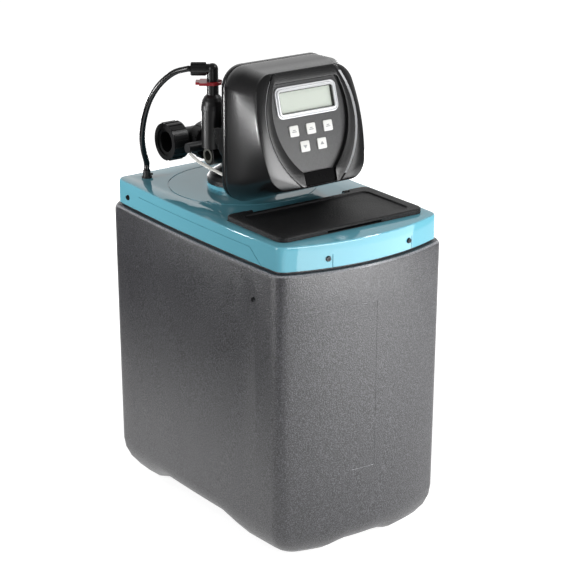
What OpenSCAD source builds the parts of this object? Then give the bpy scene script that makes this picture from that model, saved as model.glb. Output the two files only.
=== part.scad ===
// Compact cabinet water softener: a salt cabinet with a resin vessel inside it,
// a timed control valve on the vessel and a brine line back to the salt.
// Millimetres. +Z is up, the control head faces -Y, the origin is on the floor
// below the middle of the cabinet.

/* [Cabinet] */
// Width of the cabinet at its widest
cabinet_w = 323; // [285:1:360]
// Depth of the cabinet over the bowed front
cabinet_d = 503; // [450:1:550]
// Height of the rounded shoulder under the cover
shoulder_z = 468; // [450:1:500]
// Wall of the moulded cabinet
cabinet_wall = 4; // [3:0.5:5]
// Radius of the bowed front
front_radius = 383; // [340:1:600]
// Radius of the slightly bowed sides and rear
side_radius = 4000; // [2500:100:8000]
// Radius of the upright corners
corner_r = 26.5; // [22:0.5:34]
// How far each wall leans in at the floor
wall_draft = 4.3; // [2:0.1:6]
// Radius of the rounded lower edge
base_round = 60; // [50:1:66]
// Radius of the shoulder
shoulder_r = 7; // [4:0.5:9]
// Height of the feet at the corners
foot_h = 18; // [8:1:22]
// Width of the flat pads under the feet
foot_pad_w = 26; // [18:1:32]
// Front end of the arch under the long sides
arch_front_y = -60; // [-90:1:-40]
// Rear end of the arch under the long sides
arch_rear_y = 118; // [90:1:130]
// Length of the ramp from the arch down to a foot
arch_ramp = 48; // [30:1:60]
// Height of the low arch under the front and rear
end_arch_h = 9; // [2:1:10]
// Width of the low arch
end_arch_w = 130; // [100:1:140]
// Length of the ramp at each end of the low arch
end_arch_ramp = 35; // [20:1:45]

/* [Top cover] */
// How far the cover's skirt stands inside the cabinet's sides
cover_inset = 8; // [5:0.5:9]
// Open gap between the shoulder and the skirt
skirt_gap = 3; // [2:0.5:5]
// Height of the skirt
skirt_h = 38; // [32:1:46]
// Wall of the cover
cover_wall = 3; // [2.5:0.5:4]
// Radius of the cover's upper edge
cover_edge_r = 3; // [2:0.5:4]
// Gap between the skirt and the cabinet's rim
rim_clear = 0.6; // [0.3:0.1:1.5]
// Thickness of the cabinet's rim
rim_t = 4; // [3:0.5:5]
// Sideways place of the front screws
front_screw_x = 75; // [50:1:90]
// Rearward place of the side screws
side_screw_y = 200; // [150:1:205]
// Depth of the screws below the cover's top
screw_drop = 24; // [16:1:28]
// Radius of the screws' thread
screw_r = 2; // [1.5:0.1:2.5]
// Radius of the raised ring round the valve
collar_r = 57; // [54:1:64]
// Height of the raised ring
collar_h = 6; // [4:0.5:8]
// Radius of the groove round the valve
groove_r = 119; // [100:1:124]
// Width of the groove
groove_w = 2; // [1:0.5:3]

/* [Salt lid] */
// Width of the salt lid
lid_w = 268; // [250:1:272]
// Thickness of the lid's rim
lid_t = 8; // [7:0.5:10]
// Front edge of the lid
lid_front_y = -201; // [-210:1:-190]
// Hinge line of the lid
hinge_y = -58; // [-60:1:-50]
// Gap between the lid and the cover
lid_gap = 0.4; // [0.3:0.1:1]
// Width of the lid's raised border
lid_border = 15; // [12:1:20]
// Depth of the lid's pan
pan_depth = 2.5; // [1.5:0.5:3]
// Radius of the lid's front corners
lid_corner_r = 16; // [8:1:22]
// Width of the cut-back between the two hinge ears
notch_w = 190; // [160:1:210]
// Rear edge of the lid between the ears
notch_y = -66; // [-72:1:-62]
// Depth of the locating wall under the lid
plug_depth = 9; // [6:1:12]
// Wall of the locating wall
plug_wall = 2.5; // [2:0.5:3]
// Width of the finger slot under the front edge
grip_w = 100; // [80:1:140]
// Depth of the finger slot
grip_d = 12; // [10:1:13]
// Height of the finger slot
grip_h = 5.2; // [4.6:0.1:5.5]
// Radius of the hinge pins
pin_r = 2; // [1.5:0.1:2.4]
// Radial clearance of everything that turns or slides
run_clear = 0.05; // [0.02:0.01:0.1]

/* [Resin vessel] */
// Radius of the resin vessel
vessel_r = 128.5; // [118:0.5:130]
// Wall of the vessel
vessel_wall = 4; // [3:0.5:6]
// Height of the vessel's domed ends
dome_h = 70; // [55:1:80]
// Radius of the vessel's neck
neck_r = 42; // [40:0.5:46]
// Radius of the neck's opening
neck_bore_r = 32; // [31:0.5:34]
// How far back the vessel and the valve stand
neck_y = 92; // [88:1:98]
// Height of the neck's top above the cover
neck_rise = 3; // [2:0.5:5]
// Radius of the boot under the vessel
boot_r = 92; // [80:1:94]
// Gap between the vessel's bottom and the cabinet's floor
boot_lift = 8; // [6:1:12]
// Height of the resin's surface
resin_z = 330; // [250:1:380]
// Radius of the riser tube
riser_r = 13.5; // [12:0.5:14]
// Wall of the riser tube
riser_wall = 1.5; // [1:0.5:2]
// Radius of the lower strainer
strainer_r = 24; // [20:0.5:28]
// Height of the lower strainer
strainer_h = 60; // [50:1:80]

/* [Valve] */
// Height of the piston's axis above the vessel's neck
piston_rise = 80; // [78:1:84]
// Radius of the valve's barrel
barrel_r = 33; // [30:0.5:36]
// Radius of the barrel's bore
barrel_bore_r = 20; // [19:0.5:22]
// Radius of the piston
piston_r = 14; // [12:0.5:15]
// Radius of the piston's rod
rod_r = 5; // [4:0.5:6]
// Travel of the piston
piston_travel = 36; // [30:1:38]
// Radius of the valve's foot flange
flange_r = 57; // [54:1:60]
// Sideways place of the two water ports
port_x = 36; // [34:0.5:40]
// Height of the water ports above the vessel's neck
port_rise = 64; // [62:1:68]
// Radius of the water ports
port_r = 22; // [20:0.5:24]
// Bore of the water ports
port_bore_r = 15; // [13:0.5:16]
// Rear face of the water ports
port_end_y = 138; // [134:1:142]
// Sideways place of the brine column
column_x = -77.5; // [-82:0.5:-76]
// Rearward place of the brine column
column_y = 60; // [56:1:64]
// Radius of the brine column
column_r = 19; // [17:0.5:21]
// Height of the ring on the column above the vessel's neck
column_rise = 138; // [130:1:146]
// Radius of the drain arm
drain_r = 15; // [14:0.5:17]
// Bore of the drain sleeve
drain_bore_r = 8; // [6:0.5:9]
// Length of the drain sleeve
drain_len = 26; // [20:1:30]

/* [Pipe fittings] */
// Rearward place of the elbows' outlets
elbow_y = 168; // [165:1:175]
// Sideways reach of the unions
union_x = 98; // [94:1:110]
// Outer radius of the coupling nuts
nut_r = 31; // [29:0.5:33]
// Length of the coupling nuts
nut_len = 28; // [24:1:30]
// Radius of the elbows
elbow_r = 22; // [20:0.5:23]
// Radius of the sockets that take the house pipes
socket_r = 16.8; // [14:0.1:17]
// Depth of the pipe sockets
socket_len = 24; // [18:1:26]
// Number of grip ribs on each nut
nut_ribs = 18; // [12:1:24]

/* [Brine line] */
// Radius of the brine tube
tube_r = 4.75; // [3.5:0.05:5]
// Direction of the refill elbow, from the right-hand side
refill_angle = 144; // [140:1:148]
// Height of the refill elbow above the column's ring
refill_rise = 62; // [58:1:68]
// Sideways place where the tube goes through the cover
tube_hole_x = -107; // [-110:1:-104]
// Rearward place where the tube goes through the cover
tube_hole_y = 209; // [206:1:212]
// Radius of the brine well
well_r = 43; // [40:0.5:45]
// Wall of the brine well
well_wall = 2.5; // [2:0.5:3]
// Space between the brine well and the line of the cabinet's side
well_side_gap = 14.5; // [12:0.5:17]
// Distance from the foremost line of the cabinet back to the middle of the brine well
well_setback = 88.5; // [82:0.5:90]
// Height of the brine well's lower end
well_bottom_z = 66; // [66:1:80]
// Height of the brine well's top
well_top_z = 446; // [440:1:452]
// Height of the screw that holds the brine well
well_screw_z = 418; // [410:1:425]
// Radius of the float
float_r = 15; // [12:0.5:16]
// Height of the float
float_h = 50; // [40:1:60]
// Travel of the float
float_travel = 20; // [12:1:20]

/* [Control head] */
// Width of the head at its back
head_w = 196; // [190:1:200]
// Height of the head at its back
head_h = 213; // [190:1:220]
// Height of the head's lowest point above the cover
head_lift = 7; // [6:0.5:12]
// Radius of the head's rear corners
head_corner_r = 34; // [28:1:40]
// Width of the face
face_w = 192; // [170:1:194]
// Height of the face
face_h = 178; // [160:1:184]
// Radius of the face's corners
face_corner_r = 26; // [18:1:34]
// How far the face leans back
face_tilt = 15.8; // [12:0.1:18]
// Front-to-back place of the face's middle
face_y = -88; // [-92:0.5:-86]
// Height of the face's middle above the head's lowest point
face_rise = 124; // [120:0.5:128]
// How far the crowned border stands over the panel
crown = 7.5; // [6:0.5:9]
// Wall of the front shell
shell_wall = 3; // [2.5:0.5:3.5]
// Front face of the back plate
back_y = -3; // [-5:0.5:-2]
// Thickness of the back plate's rim
back_t = 9; // [8:0.5:10]
// Web of the back plate
back_web = 3; // [2.5:0.5:4]
// Radius of the two inner arcs that bound the panel
panel_arc_r = 120; // [112:1:126]
// Half width of the panel
panel_half_w = 69; // [66:0.5:72]
// Radius of the two bright trim arcs
trim_arc_r = 129; // [124:1:136]
// Half width between the bright trim arcs
trim_half_w = 83; // [80:0.5:85]
// Width of the bright trim arcs
trim_w = 2.4; // [1.6:0.2:3]
// Width of the display's window
window_w = 97; // [90:0.5:100]
// Height of the display's window
window_h = 32; // [28:0.5:34]
// Height of the display above the face's middle
window_v = 42; // [40:0.5:44]
// Border of the display's frame
bezel_border = 8; // [6:0.5:9]
// Side of a button
button_w = 16.5; // [15:0.5:20]
// Sideways step between the buttons
button_step = 31.5; // [29:0.5:34]
// Height of the upper row of buttons from the face's middle
button_v = -2; // [-4:0.5:0]
// Distance between the two rows of buttons
button_row = 25; // [23.5:0.5:27]
// How far the buttons stand proud of the panel
button_proud = 2.2; // [1.6:0.1:3]
// Travel of a button
button_travel = 1.2; // [0.8:0.1:1.6]
// Gap round a button
button_gap = 0.3; // [0.2:0.05:0.5]

/* [Drive] */
// Module of the gears
gear_module = 1.25; // [1.1:0.05:1.3]
// Teeth of the drive gear
drive_teeth = 48; // [44:1:50]
// Teeth of the reduction gear
idler_teeth = 40; // [36:1:42]
// Teeth of the motor's pinion
pinion_teeth = 16; // [14:1:18]
// Width of the gears
gear_t = 10; // [8:0.5:10]
// Play between meshing teeth
backlash = 0.4; // [0.3:0.05:0.6]
// Direction from the drive gear to the reduction gear
idler_angle = 60; // [55:1:65]
// Direction from the reduction gear to the pinion
pinion_angle = 140; // [135:1:150]
// Radius of the drive motor
motor_r = 14; // [12:0.5:15]
// Length of the drive motor
motor_len = 28; // [22:1:30]

/* [Hidden] */
$fn = 96;

// Left and right, and the room left between pieces that don't fit each other
sides = [-1, 1];
soft_gap = 0.3;

// Cabinet heights
skirt_z = shoulder_z + skirt_gap;
cover_top = skirt_z + skirt_h;
cover_under = cover_top - cover_wall;
rim_inset = cover_inset + cover_wall + rim_clear;
floor_z = foot_h + cabinet_wall;

// Plan of the cabinet: four bowed sides joined by four round corners. The
// centres are of the arcs, and every inset is a true parallel offset.
front_c = [0, front_radius - cabinet_d / 2];
rear_c = [0, cabinet_d / 2 - side_radius];
side_c = [cabinet_w / 2 - side_radius, 0];
function heading(from, to) = atan2(to.y - from.y, to.x - from.x);
function circles_meet(a, ra, b, rb, side) =
    let (d = norm(b - a), t = (ra * ra - rb * rb + d * d) / (2 * d), h = sqrt(ra * ra - t * t),
         e = (b - a) / d)
    a + e * t + [-e.y, e.x] * h * side;
function corner_c(c, arc_r, inset, r, side) =
    circles_meet(c, arc_r - inset - r, side_c, side_radius - inset - r, side);
function arc(c, r, a, b, n) = [for (i = [0:n]) c + r * [cos(a + (b - a) * i / n), sin(a + (b - a) * i / n)]];
function tail(list) = [for (i = [1:len(list) - 1]) list[i]];
function plan_half(inset, r) =
    let (f = corner_c(front_c, front_radius, inset, r, 1), b = corner_c(rear_c, side_radius, inset, r, -1),
         a1 = heading(front_c, f), a2 = heading(side_c, f), a3 = heading(side_c, b), a4 = heading(rear_c, b))
    concat(arc(front_c, front_radius - inset, -90, a1, 8), tail(arc(f, r, a1, a2, 7)),
           tail(arc(side_c, side_radius - inset, a2, a3, 12)), tail(arc(b, r, a3, a4, 7)),
           tail(arc(rear_c, side_radius - inset, a4, 90, 4)));
function plan(inset, r) =
    let (h = plan_half(inset, r), n = len(h))
    concat(h, [for (i = [n - 2:-1:1]) [-h[i].x, h[i].y]]);
// Walls keep one thickness round a corner
function wall_plan(inset) = plan(inset, corner_r - inset);

// A closed solid through rings of equal count
module loft(rings) {
    n = len(rings[0]);
    last = len(rings) - 1;
    polyhedron(points = [for (r = rings) each r],
               faces = concat([[for (i = [0:n - 1]) i]],
                              [for (k = [0:last - 1], i = [0:n - 1]) let (j = (i + 1) % n) each
                                  [[k * n + i, (k + 1) * n + i, (k + 1) * n + j],
                                   [k * n + i, (k + 1) * n + j, k * n + j]]],
                              [[for (i = [n - 1:-1:0]) last * n + i]]), convexity = 10);
}

// The arch lifts the lower edge between the feet
function smooth(t) = let (c = min(max(t, 0), 1)) c * c * (3 - 2 * c);
function side_arch(y) =
    foot_h * smooth((y - arch_front_y) / arch_ramp + 1) * smooth((arch_rear_y - y) / arch_ramp + 1);
function end_arch(x) = end_arch_h * smooth((end_arch_w / 2 - abs(x)) / end_arch_ramp);
function arch(p) = max(side_arch(p.y), end_arch(p.x));
function draft(z) = wall_draft * (1 - z / shoulder_z);
function lifted(outline, z, lift) = [for (p = outline) [p.x, p.y, z + lift * arch(p)]];
function wall_ring(inset, z) = lifted(wall_plan(inset), z, 0);
function base_ring(inset, z, lift, r) = lifted(plan(inset, r), z, lift);
function outer_base() = [for (a = [0:15:90]) let (z = base_round * (1 - cos(a)))
    base_ring(base_round * (1 - sin(a)) + draft(z), z, cos(a), corner_r)];
function inner_base() = let (r = base_round - cabinet_wall) [for (a = [90:-15:0])
    let (z = cabinet_wall + r * (1 - cos(a)))
    base_ring(cabinet_wall + r * (1 - sin(a)) + draft(z), z, cos(a), corner_r - cabinet_wall)];
function shoulder_rings() = [for (a = [0:30:90])
    wall_ring(shoulder_r * (1 - cos(a)), shoulder_z - shoulder_r * (1 - sin(a)))];
rim_top_inset = rim_inset + rim_t;
pad_in = base_round + foot_pad_w;

// Cover screws: the middle of the head on the skirt, and the outward direction
function skirt_y(x) = front_c.y - sqrt(pow(front_radius - cover_inset, 2) - x * x);
function skirt_x(y) = side_c.x + sqrt(pow(side_radius - cover_inset, 2) - y * y);
screw_z = cover_top - screw_drop;
front_lean = asin(front_screw_x / (front_radius - cover_inset));
side_lean = asin(side_screw_y / (side_radius - cover_inset));
screw_places = [[[front_screw_x, skirt_y(front_screw_x), screw_z], front_lean - 90],
                [[-front_screw_x, skirt_y(front_screw_x), screw_z], -front_lean - 90],
                [[skirt_x(side_screw_y), side_screw_y, screw_z], side_lean],
                [[-skirt_x(side_screw_y), side_screw_y, screw_z], 180 - side_lean]];
screw_head_r = screw_r + 2.5;
screw_head_h = 2.4;
screw_len = cover_wall + rim_clear + rim_t + 4;

// Lid heights
lid_z = cover_top + lid_gap;
hinge_z = lid_z + lid_t / 2;
lug_t = 7.5;
lug_gap = 0.5;
pin_in_ear = 18;
opening_border = lid_border + 1.5;
opening_w = lid_w - 2 * opening_border;
opening_d = notch_y - lid_front_y - 2 * opening_border + lid_border;
opening_r = 8;
plug_clear = 2.5;

// Vessel heights
vessel_z = floor_z + boot_lift;
neck_top = cover_top + neck_rise;
dome_top_z = neck_top - 34;
shoulder_start_z = dome_top_z - dome_h * sqrt(1 - pow(neck_r / vessel_r, 2));
function dome_drop(r, rr, h) = h * (1 - sqrt(max(1 - r * r / (rr * rr), 0)));
function bottom_z(r, off) = vessel_z + off + dome_drop(r, vessel_r - off, dome_h - off);
function lower_dome(off, from, to, n) =
    [for (i = [0:n]) let (r = from + (to - from) * sin(90 * i / n)) [r, bottom_z(r, off)]];
function upper_dome(off, to, n) =
    let (a = acos(to / (vessel_r - off)))
    [for (i = [0:n]) [(vessel_r - off) * cos(a * i / n), shoulder_start_z + (dome_h - off) * sin(a * i / n)]];
strainer_z = bottom_z(strainer_r, vessel_wall) + soft_gap;
riser_z = strainer_z + 14;
thread_len = 28;
thread_r = neck_bore_r - 0.1;
thread_z = neck_top - thread_len;
upper_strainer_h = 18;

// Valve heights and places
piston_z = neck_top + piston_rise;
port_z = neck_top + port_rise;
ring_z = neck_top + column_rise;
plate_rear = back_y + back_t;
thread_lap = 10;
nut_gap = 0.5;
nut_front_y = port_end_y - thread_lap;
barrel_end = nut_front_y - nut_gap;
tower_r = nut_front_y - neck_y - nut_gap;
bore_end = barrel_end - 6;
piston_front = plate_rear + 14;
piston_len = bore_end - piston_travel - 4 - piston_front;
seal_count = 6;
seal_t = 5;
drain_x = column_x - 9;
column_z = port_z + drain_r - 2;
clip_z = ring_z + 39;
clip_t = 4;
refill_z = ring_z + refill_rise;
stem_r = 7;
arm_r = 8;
arm_len = 18;
grip_nut_r = 10.5;
grip_nut_len = 24;
elbow_body_r = stem_r + 2;
grip_nut_start = elbow_body_r + soft_gap;

// Fittings
nut_lip = 4;
gasket_t = 2;
gasket_y = port_end_y;
flange_y = port_end_y + gasket_t;
spigot_r = elbow_r - 4;
port_nut_len = elbow_y - spigot_r - nut_gap - nut_front_y;
nut_clear = 0.3;
port_flange_t = port_nut_len - nut_lip - thread_lap - gasket_t - nut_clear;
rib_t = 2.4;
rib_w = 2.8;
rib_end = 2;
mouth_depth = 3;
arm_end = union_x - port_x - mouth_depth;
water_r = port_bore_r - 2;
port_bore_y = neck_y + 10;
turbine_y = port_end_y - 30;
turbine_t = 14;
turbine_r = port_bore_r - 1.5;
shaft_r = 1.5;
sensor_r = 8;
probe_r = 4;
probe_len = 4;

// Brine parts
well_x = -(cabinet_w / 2 - well_side_gap - well_r);
well_y = -(cabinet_d / 2 - well_setback);
float_offset = 18;
pickup_offset = 14;
float_x = well_x + float_offset;
pickup_x = well_x - pickup_offset;
brine_valve_drop = 42;
brine_valve_z = well_top_z - brine_valve_drop;
brine_valve_h = 20;
brine_valve_r = 13;
bridge_w = 12;
bridge_t = 8;
channel_lift = 3;
channel_h = 14;
spigot_root = 12;
socket_depth = 10;
rod_collar_t = 3;
rod_collar_r = 4.5;
rod_tail = 6;
spigot_len = well_r + 16;
guide_r = 2.5;
collar_gap = 0.3;
float_drop = 210;
float_z = brine_valve_z - float_drop;
pickup_r = 6;
check_r = 11;
check_h = 18;
cap_t = 4;
cap_lip = 6;
well_side_x = -skirt_x(well_y) - cover_inset + draft(well_screw_z);
inner_wall_x = well_side_x + cabinet_wall;
well_boss_r = 7;
well_boss_gap = 0.3;

// Brine tube's route, from inside the refill nut to the brine valve's spigot
refill_dir = [cos(refill_angle), sin(refill_angle), 0];
refill_c = [column_x, column_y, refill_z];
tube_start = refill_c + refill_dir * (arm_len + 0.5);
nut_mouth = refill_c + refill_dir * (grip_nut_start + grip_nut_len);
tube_exit = nut_mouth + refill_dir * 5;
spigot_end = [well_x, well_y + spigot_len, brine_valve_z + brine_valve_h / 2];
tube_route = concat([tube_start, nut_mouth, tube_exit, [-119, 105, 703], [-128, 130, 682], [-133, 152, 654],
                     [-133, 170, 622], [-127, 188, 588], [-116, 203, 558]],
                    [for (d = [29, 17, -1, -11]) [tube_hole_x, tube_hole_y, cover_under + d]],
                    [[-111, 202, 464], [-122, 180, 444], [-133, 145, 436], [-139, 100, 434], [-139, 50, 433],
                     [-135, 0, 432], [-123, -48, 426], [-109, -76, 417]],
                    [for (d = [12, 0.1]) spigot_end + [0, d, 0]]);
function spline(p, k, t) =
    let (a = p[max(k - 1, 0)], b = p[k], c = p[k + 1], d = p[min(k + 2, len(p) - 1)])
    0.5 * (2 * b + (c - a) * t + (2 * a - 5 * b + 4 * c - d) * t * t + (3 * b - a - 3 * c + d) * t * t * t);
function along(p, steps) = concat([for (k = [0:len(p) - 2], i = [0:steps - 1]) spline(p, k, i / steps)],
                                  [p[len(p) - 1]]);
function unit(v) = v / norm(v);
function tangent(p, i) = unit(p[min(i + 1, len(p) - 1)] - p[max(i - 1, 0)]);
// Carries a normal from ring to ring, so that a swept section never twists
function carried(p, i, n) = i == 0 ? [n] :
    let (before = carried(p, i - 1, n), m = before[i - 1], t = tangent(p, i))
    concat(before, [unit(m - t * (m * t))]);
function sweep_rings(path, half_a, half_b, facets, first) =
    let (n = carried(path, len(path) - 1, unit(first - tangent(path, 0) * (first * tangent(path, 0)))))
    [for (i = [0:len(path) - 1]) let (t = tangent(path, i), s = cross(t, n[i]))
        [for (j = [0:facets - 1]) let (a = 360 * j / facets)
            path[i] + n[i] * half_a * cos(a) + s * half_b * sin(a)]];

// Meter cable: a flat ribbon from the flow sensor down to the back plate
sensor_y = turbine_y + turbine_t / 2;
sensor_len = 32;
sensor_x = -(port_x + port_r + sensor_len);
ribbon_w = 5;
ribbon_t = 1.4;
ribbon_end = [-64, plate_rear + 0.2, 541];
ribbon_route = [[sensor_x + 4, sensor_y - 1, port_z - sensor_r - 0.8], [-81, 96, 557], [-73, 62, 549],
                [-67, 28, 543], ribbon_end];

// Head
head_z = cover_top + head_lift;
head_mid_z = head_z + head_h / 2;
face_z = head_z + face_rise;
board_w = 150;
board_h = 122;
board_t = 1.6;
board_front = -16;
boss_r = 4;
boss_in = 8;
board_v = -4;
window_depth = 2;
window_lap = 1.5;
window_clear = 0.3;
button_r = 2;
seam = 0.2;
shell_rim = 8;
crown_in = 8;
face_bow_r = 300;
face_bow_fn = 160;
border_rise = 3;
plateau_lip = 0.3;
bezel_t = 4;
bezel_r = 10;
name_plate_w = 58;
name_plate_h = 20;
name_plate_t = 4;
name_plate_v = -76;
plate_gap = 0.2;
trim_t = 1;
trim_v = 12;
trim_in = 20;
trim_out = trim_half_w + 1;
crown_half_h = face_h / 2 - crown_in;
panel_v = 23;
panel_top = 72;
panel_bottom = -face_h / 2 - 1;
face_corner_v = face_h / 2 - face_corner_r;
face_corner_u = face_w / 2 - face_bow_r
    + sqrt(pow(face_bow_r - face_corner_r, 2) - pow(face_corner_v, 2));
button_centres = [[-button_step, button_v], [0, button_v], [button_step, button_v],
                  [-button_step / 2, button_v - button_row], [button_step / 2, button_v - button_row]];
button_bottom = -8;
switch_gap = 0.1;
tab_out = 22;
tab_drop = 39;
tab_rise = 12;
tab_slant = 16;
tab_lift = 9;
tab_waist = 10;
bracket_y = back_y - 7;
bracket_t = 3;
gear_y = bracket_y - 2;
cover_plate_y = gear_y - gear_t - 2;
cover_plate_t = 3;
cover_plate_drop = 37;
post_margin = 7;
rod_front = cover_plate_y - piston_travel;
drive_c = [0, piston_z];
function mesh_gap(a, b) = gear_module * (a + b) / 2;
function polar(a) = [cos(a), sin(a)];
idler_c = drive_c + mesh_gap(drive_teeth, idler_teeth) * polar(idler_angle);
pinion_c = idler_c + mesh_gap(idler_teeth, pinion_teeth) * polar(pinion_angle);
hub_r = 14;
idler_pin_r = 3;
motor_shaft_r = 2;
// A tooth of one gear faces a gap of the next
function next_phase(phase, teeth, next_teeth, a) =
    let (share = (a - phase) * teeth / 360) a + 180 - (0.5 - share) * 360 / next_teeth;
drive_phase = 0;
idler_phase = next_phase(drive_phase, drive_teeth, idler_teeth, idler_angle);
pinion_phase = next_phase(idler_phase, idler_teeth, pinion_teeth, pinion_angle);

// Placing helpers: along +Y from y, along +X from x, on the leaning face
module along_y(x, y, z) translate([x, y, z]) rotate([-90, 0, 0]) children();
module along_x(x, y, z) translate([x, y, z]) rotate([0, 90, 0]) children();
module on_face(w = 0) translate([0, face_y, face_z]) rotate([90 - face_tilt, 0, 0])
    translate([0, 0, w]) children();
module on_back(y) translate([0, y, head_mid_z]) rotate([90, 0, 0]) children();
module at_refill(d) translate(refill_c + refill_dir * d) rotate([0, 90, refill_angle]) children();
module ring(r_out, r_in, h) difference() {
    cylinder(r = r_out, h = h);
    translate([0, 0, -1]) cylinder(r = r_in, h = h + 2);
}
module rounded(w, h, r) {
    square([w - 2 * r, h], center = true);
    square([w, h - 2 * r], center = true);
    for (x = [-1, 1], y = [-1, 1]) translate([x * (w / 2 - r), y * (h / 2 - r)]) circle(r = r);
}

// Cabinet and cover
module cabinet_tank() color("#55565a") difference() {
    loft(concat([base_ring(pad_in + foot_h, foot_h, 0, corner_r), base_ring(pad_in, 0, 1, corner_r)],
                outer_base(), shoulder_rings(),
                [wall_ring(rim_inset, shoulder_z), wall_ring(rim_inset, cover_under),
                 wall_ring(rim_top_inset, cover_under), wall_ring(rim_top_inset, shoulder_z - cabinet_wall),
                 wall_ring(cabinet_wall, shoulder_z - cabinet_wall - rim_top_inset)],
                inner_base(),
                [base_ring(pad_in, cabinet_wall, 1, corner_r),
                 base_ring(pad_in + foot_h, floor_z, 0, corner_r)]));
    for (s = screw_places) at_screw(s) translate([0, 0, -20]) cylinder(r = screw_r + run_clear, h = 40);
    along_x(-cabinet_w / 2 - 5, well_y, well_screw_z) cylinder(r = screw_r + run_clear, h = 30);
}
module at_screw(s) translate(s[0]) rotate([0, 90, s[1]]) children();

module lid_opening(grow) translate([0, (lid_front_y + notch_y) / 2])
    rounded(opening_w + 2 * grow, opening_d + 2 * grow, opening_r + grow);

module top_cover() color("#74bccb") {
    difference() {
        loft(concat([wall_ring(cover_inset, skirt_z)],
                    [for (a = [0:30:90]) wall_ring(cover_inset + cover_edge_r * (1 - cos(a)),
                                                   cover_top - cover_edge_r * (1 - sin(a)))]));
        translate([0, 0, skirt_z - 1]) linear_extrude(cover_under - skirt_z + 1)
            polygon(wall_plan(cover_inset + cover_wall));
        translate([0, 0, cover_under - 5]) linear_extrude(20) lid_opening(0);
        translate([0, neck_y, cover_under - 5]) cylinder(r = collar_r - 6, h = 20);
        translate([tube_hole_x, tube_hole_y, cover_under - 5]) cylinder(r = tube_r + 1.5, h = 20);
        translate([0, neck_y, cover_top - 1]) ring(groove_r + groove_w / 2, groove_r - groove_w / 2, 5);
        for (s = screw_places) at_screw(s) translate([0, 0, -20]) cylinder(r = screw_r + run_clear, h = 40);
    }
    translate([0, neck_y, cover_top]) ring(collar_r, collar_r - 6, collar_h);
    for (side = sides) hinge_lug(side);
}
module hinge_lug(side) difference() {
    x = side > 0 ? notch_w / 2 - lug_gap - lug_t : -notch_w / 2 + lug_gap;
    union() {
        translate([x, hinge_y - lid_t / 2, cover_top]) cube([lug_t, lid_t, hinge_z - cover_top]);
        along_x(x, hinge_y, hinge_z) cylinder(r = lid_t / 2, h = lug_t);
    }
    along_x(x - 1, hinge_y, hinge_z) cylinder(r = pin_r + run_clear / 2, h = lug_t + 2);
}
module cover_screws() color("#1b1b1d") for (s = screw_places) at_screw(s) screw();
module screw() {
    difference() {
        union() {
            translate([0, 0, 0.1]) cylinder(r1 = screw_head_r, r2 = screw_head_r - 1, h = screw_head_h);
            translate([0, 0, -screw_len]) cylinder(r = screw_r, h = screw_len + 1);
        }
        for (a = [0, 90]) rotate(a) translate([-screw_r, -0.5, screw_head_h / 2])
            cube([2 * screw_r, 1, screw_head_h]);
    }
}
module well_screw() color("#1b1b1d") along_x(well_side_x, well_y, well_screw_z)
    rotate([180, 0, 0]) {
        translate([0, 0, 0.2]) cylinder(r1 = screw_head_r, r2 = screw_head_r - 1.5, h = screw_head_h);
        translate([0, 0, -12]) cylinder(r = screw_r, h = 13);
    }

// Lid: bordered plate with two ears, a locating wall and a finger slot
module lid_plan() difference() {
    depth = hinge_y - lid_front_y;
    union() {
        translate([-lid_w / 2, lid_front_y + lid_corner_r]) square([lid_w, depth - lid_corner_r]);
        translate([-lid_w / 2 + lid_corner_r, lid_front_y])
            square([lid_w - 2 * lid_corner_r, lid_corner_r + 1]);
        for (x = [-1, 1]) translate([x * (lid_w / 2 - lid_corner_r), lid_front_y + lid_corner_r])
            circle(r = lid_corner_r);
    }
    translate([-notch_w / 2, notch_y]) square([notch_w, 100]);
}
module salt_lid() color("#202124") difference() {
    union() {
        translate([0, 0, lid_z]) linear_extrude(lid_t) lid_plan();
        for (x = [-lid_w / 2, notch_w / 2]) along_x(x, hinge_y, hinge_z)
            cylinder(r = lid_t / 2, h = (lid_w - notch_w) / 2);
        translate([0, 0, lid_z - plug_depth]) linear_extrude(plug_depth + 1) difference() {
            lid_opening(-plug_clear);
            lid_opening(-plug_clear - plug_wall);
        }
    }
    translate([0, (lid_front_y + notch_y) / 2, lid_z + lid_t - pan_depth]) linear_extrude(10)
        rounded(lid_w - 2 * lid_border, notch_y - lid_front_y - 2 * lid_border, 6);
    translate([-grip_w / 2, lid_front_y - 1, lid_z - 1]) cube([grip_w, grip_d + 1, grip_h + 1]);
    for (side = sides) along_x(side > 0 ? notch_w / 2 - 1 : -notch_w / 2 - pin_in_ear - 1, hinge_y, hinge_z)
        cylinder(r = pin_r + run_clear, h = pin_in_ear + 2);
}
module hinge_pins() color("#8f9296") for (side = sides)
    along_x(side > 0 ? notch_w / 2 - lug_gap - lug_t : -notch_w / 2 - pin_in_ear, hinge_y, hinge_z)
        cylinder(r = pin_r, h = lug_t + lug_gap + pin_in_ear);

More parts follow.
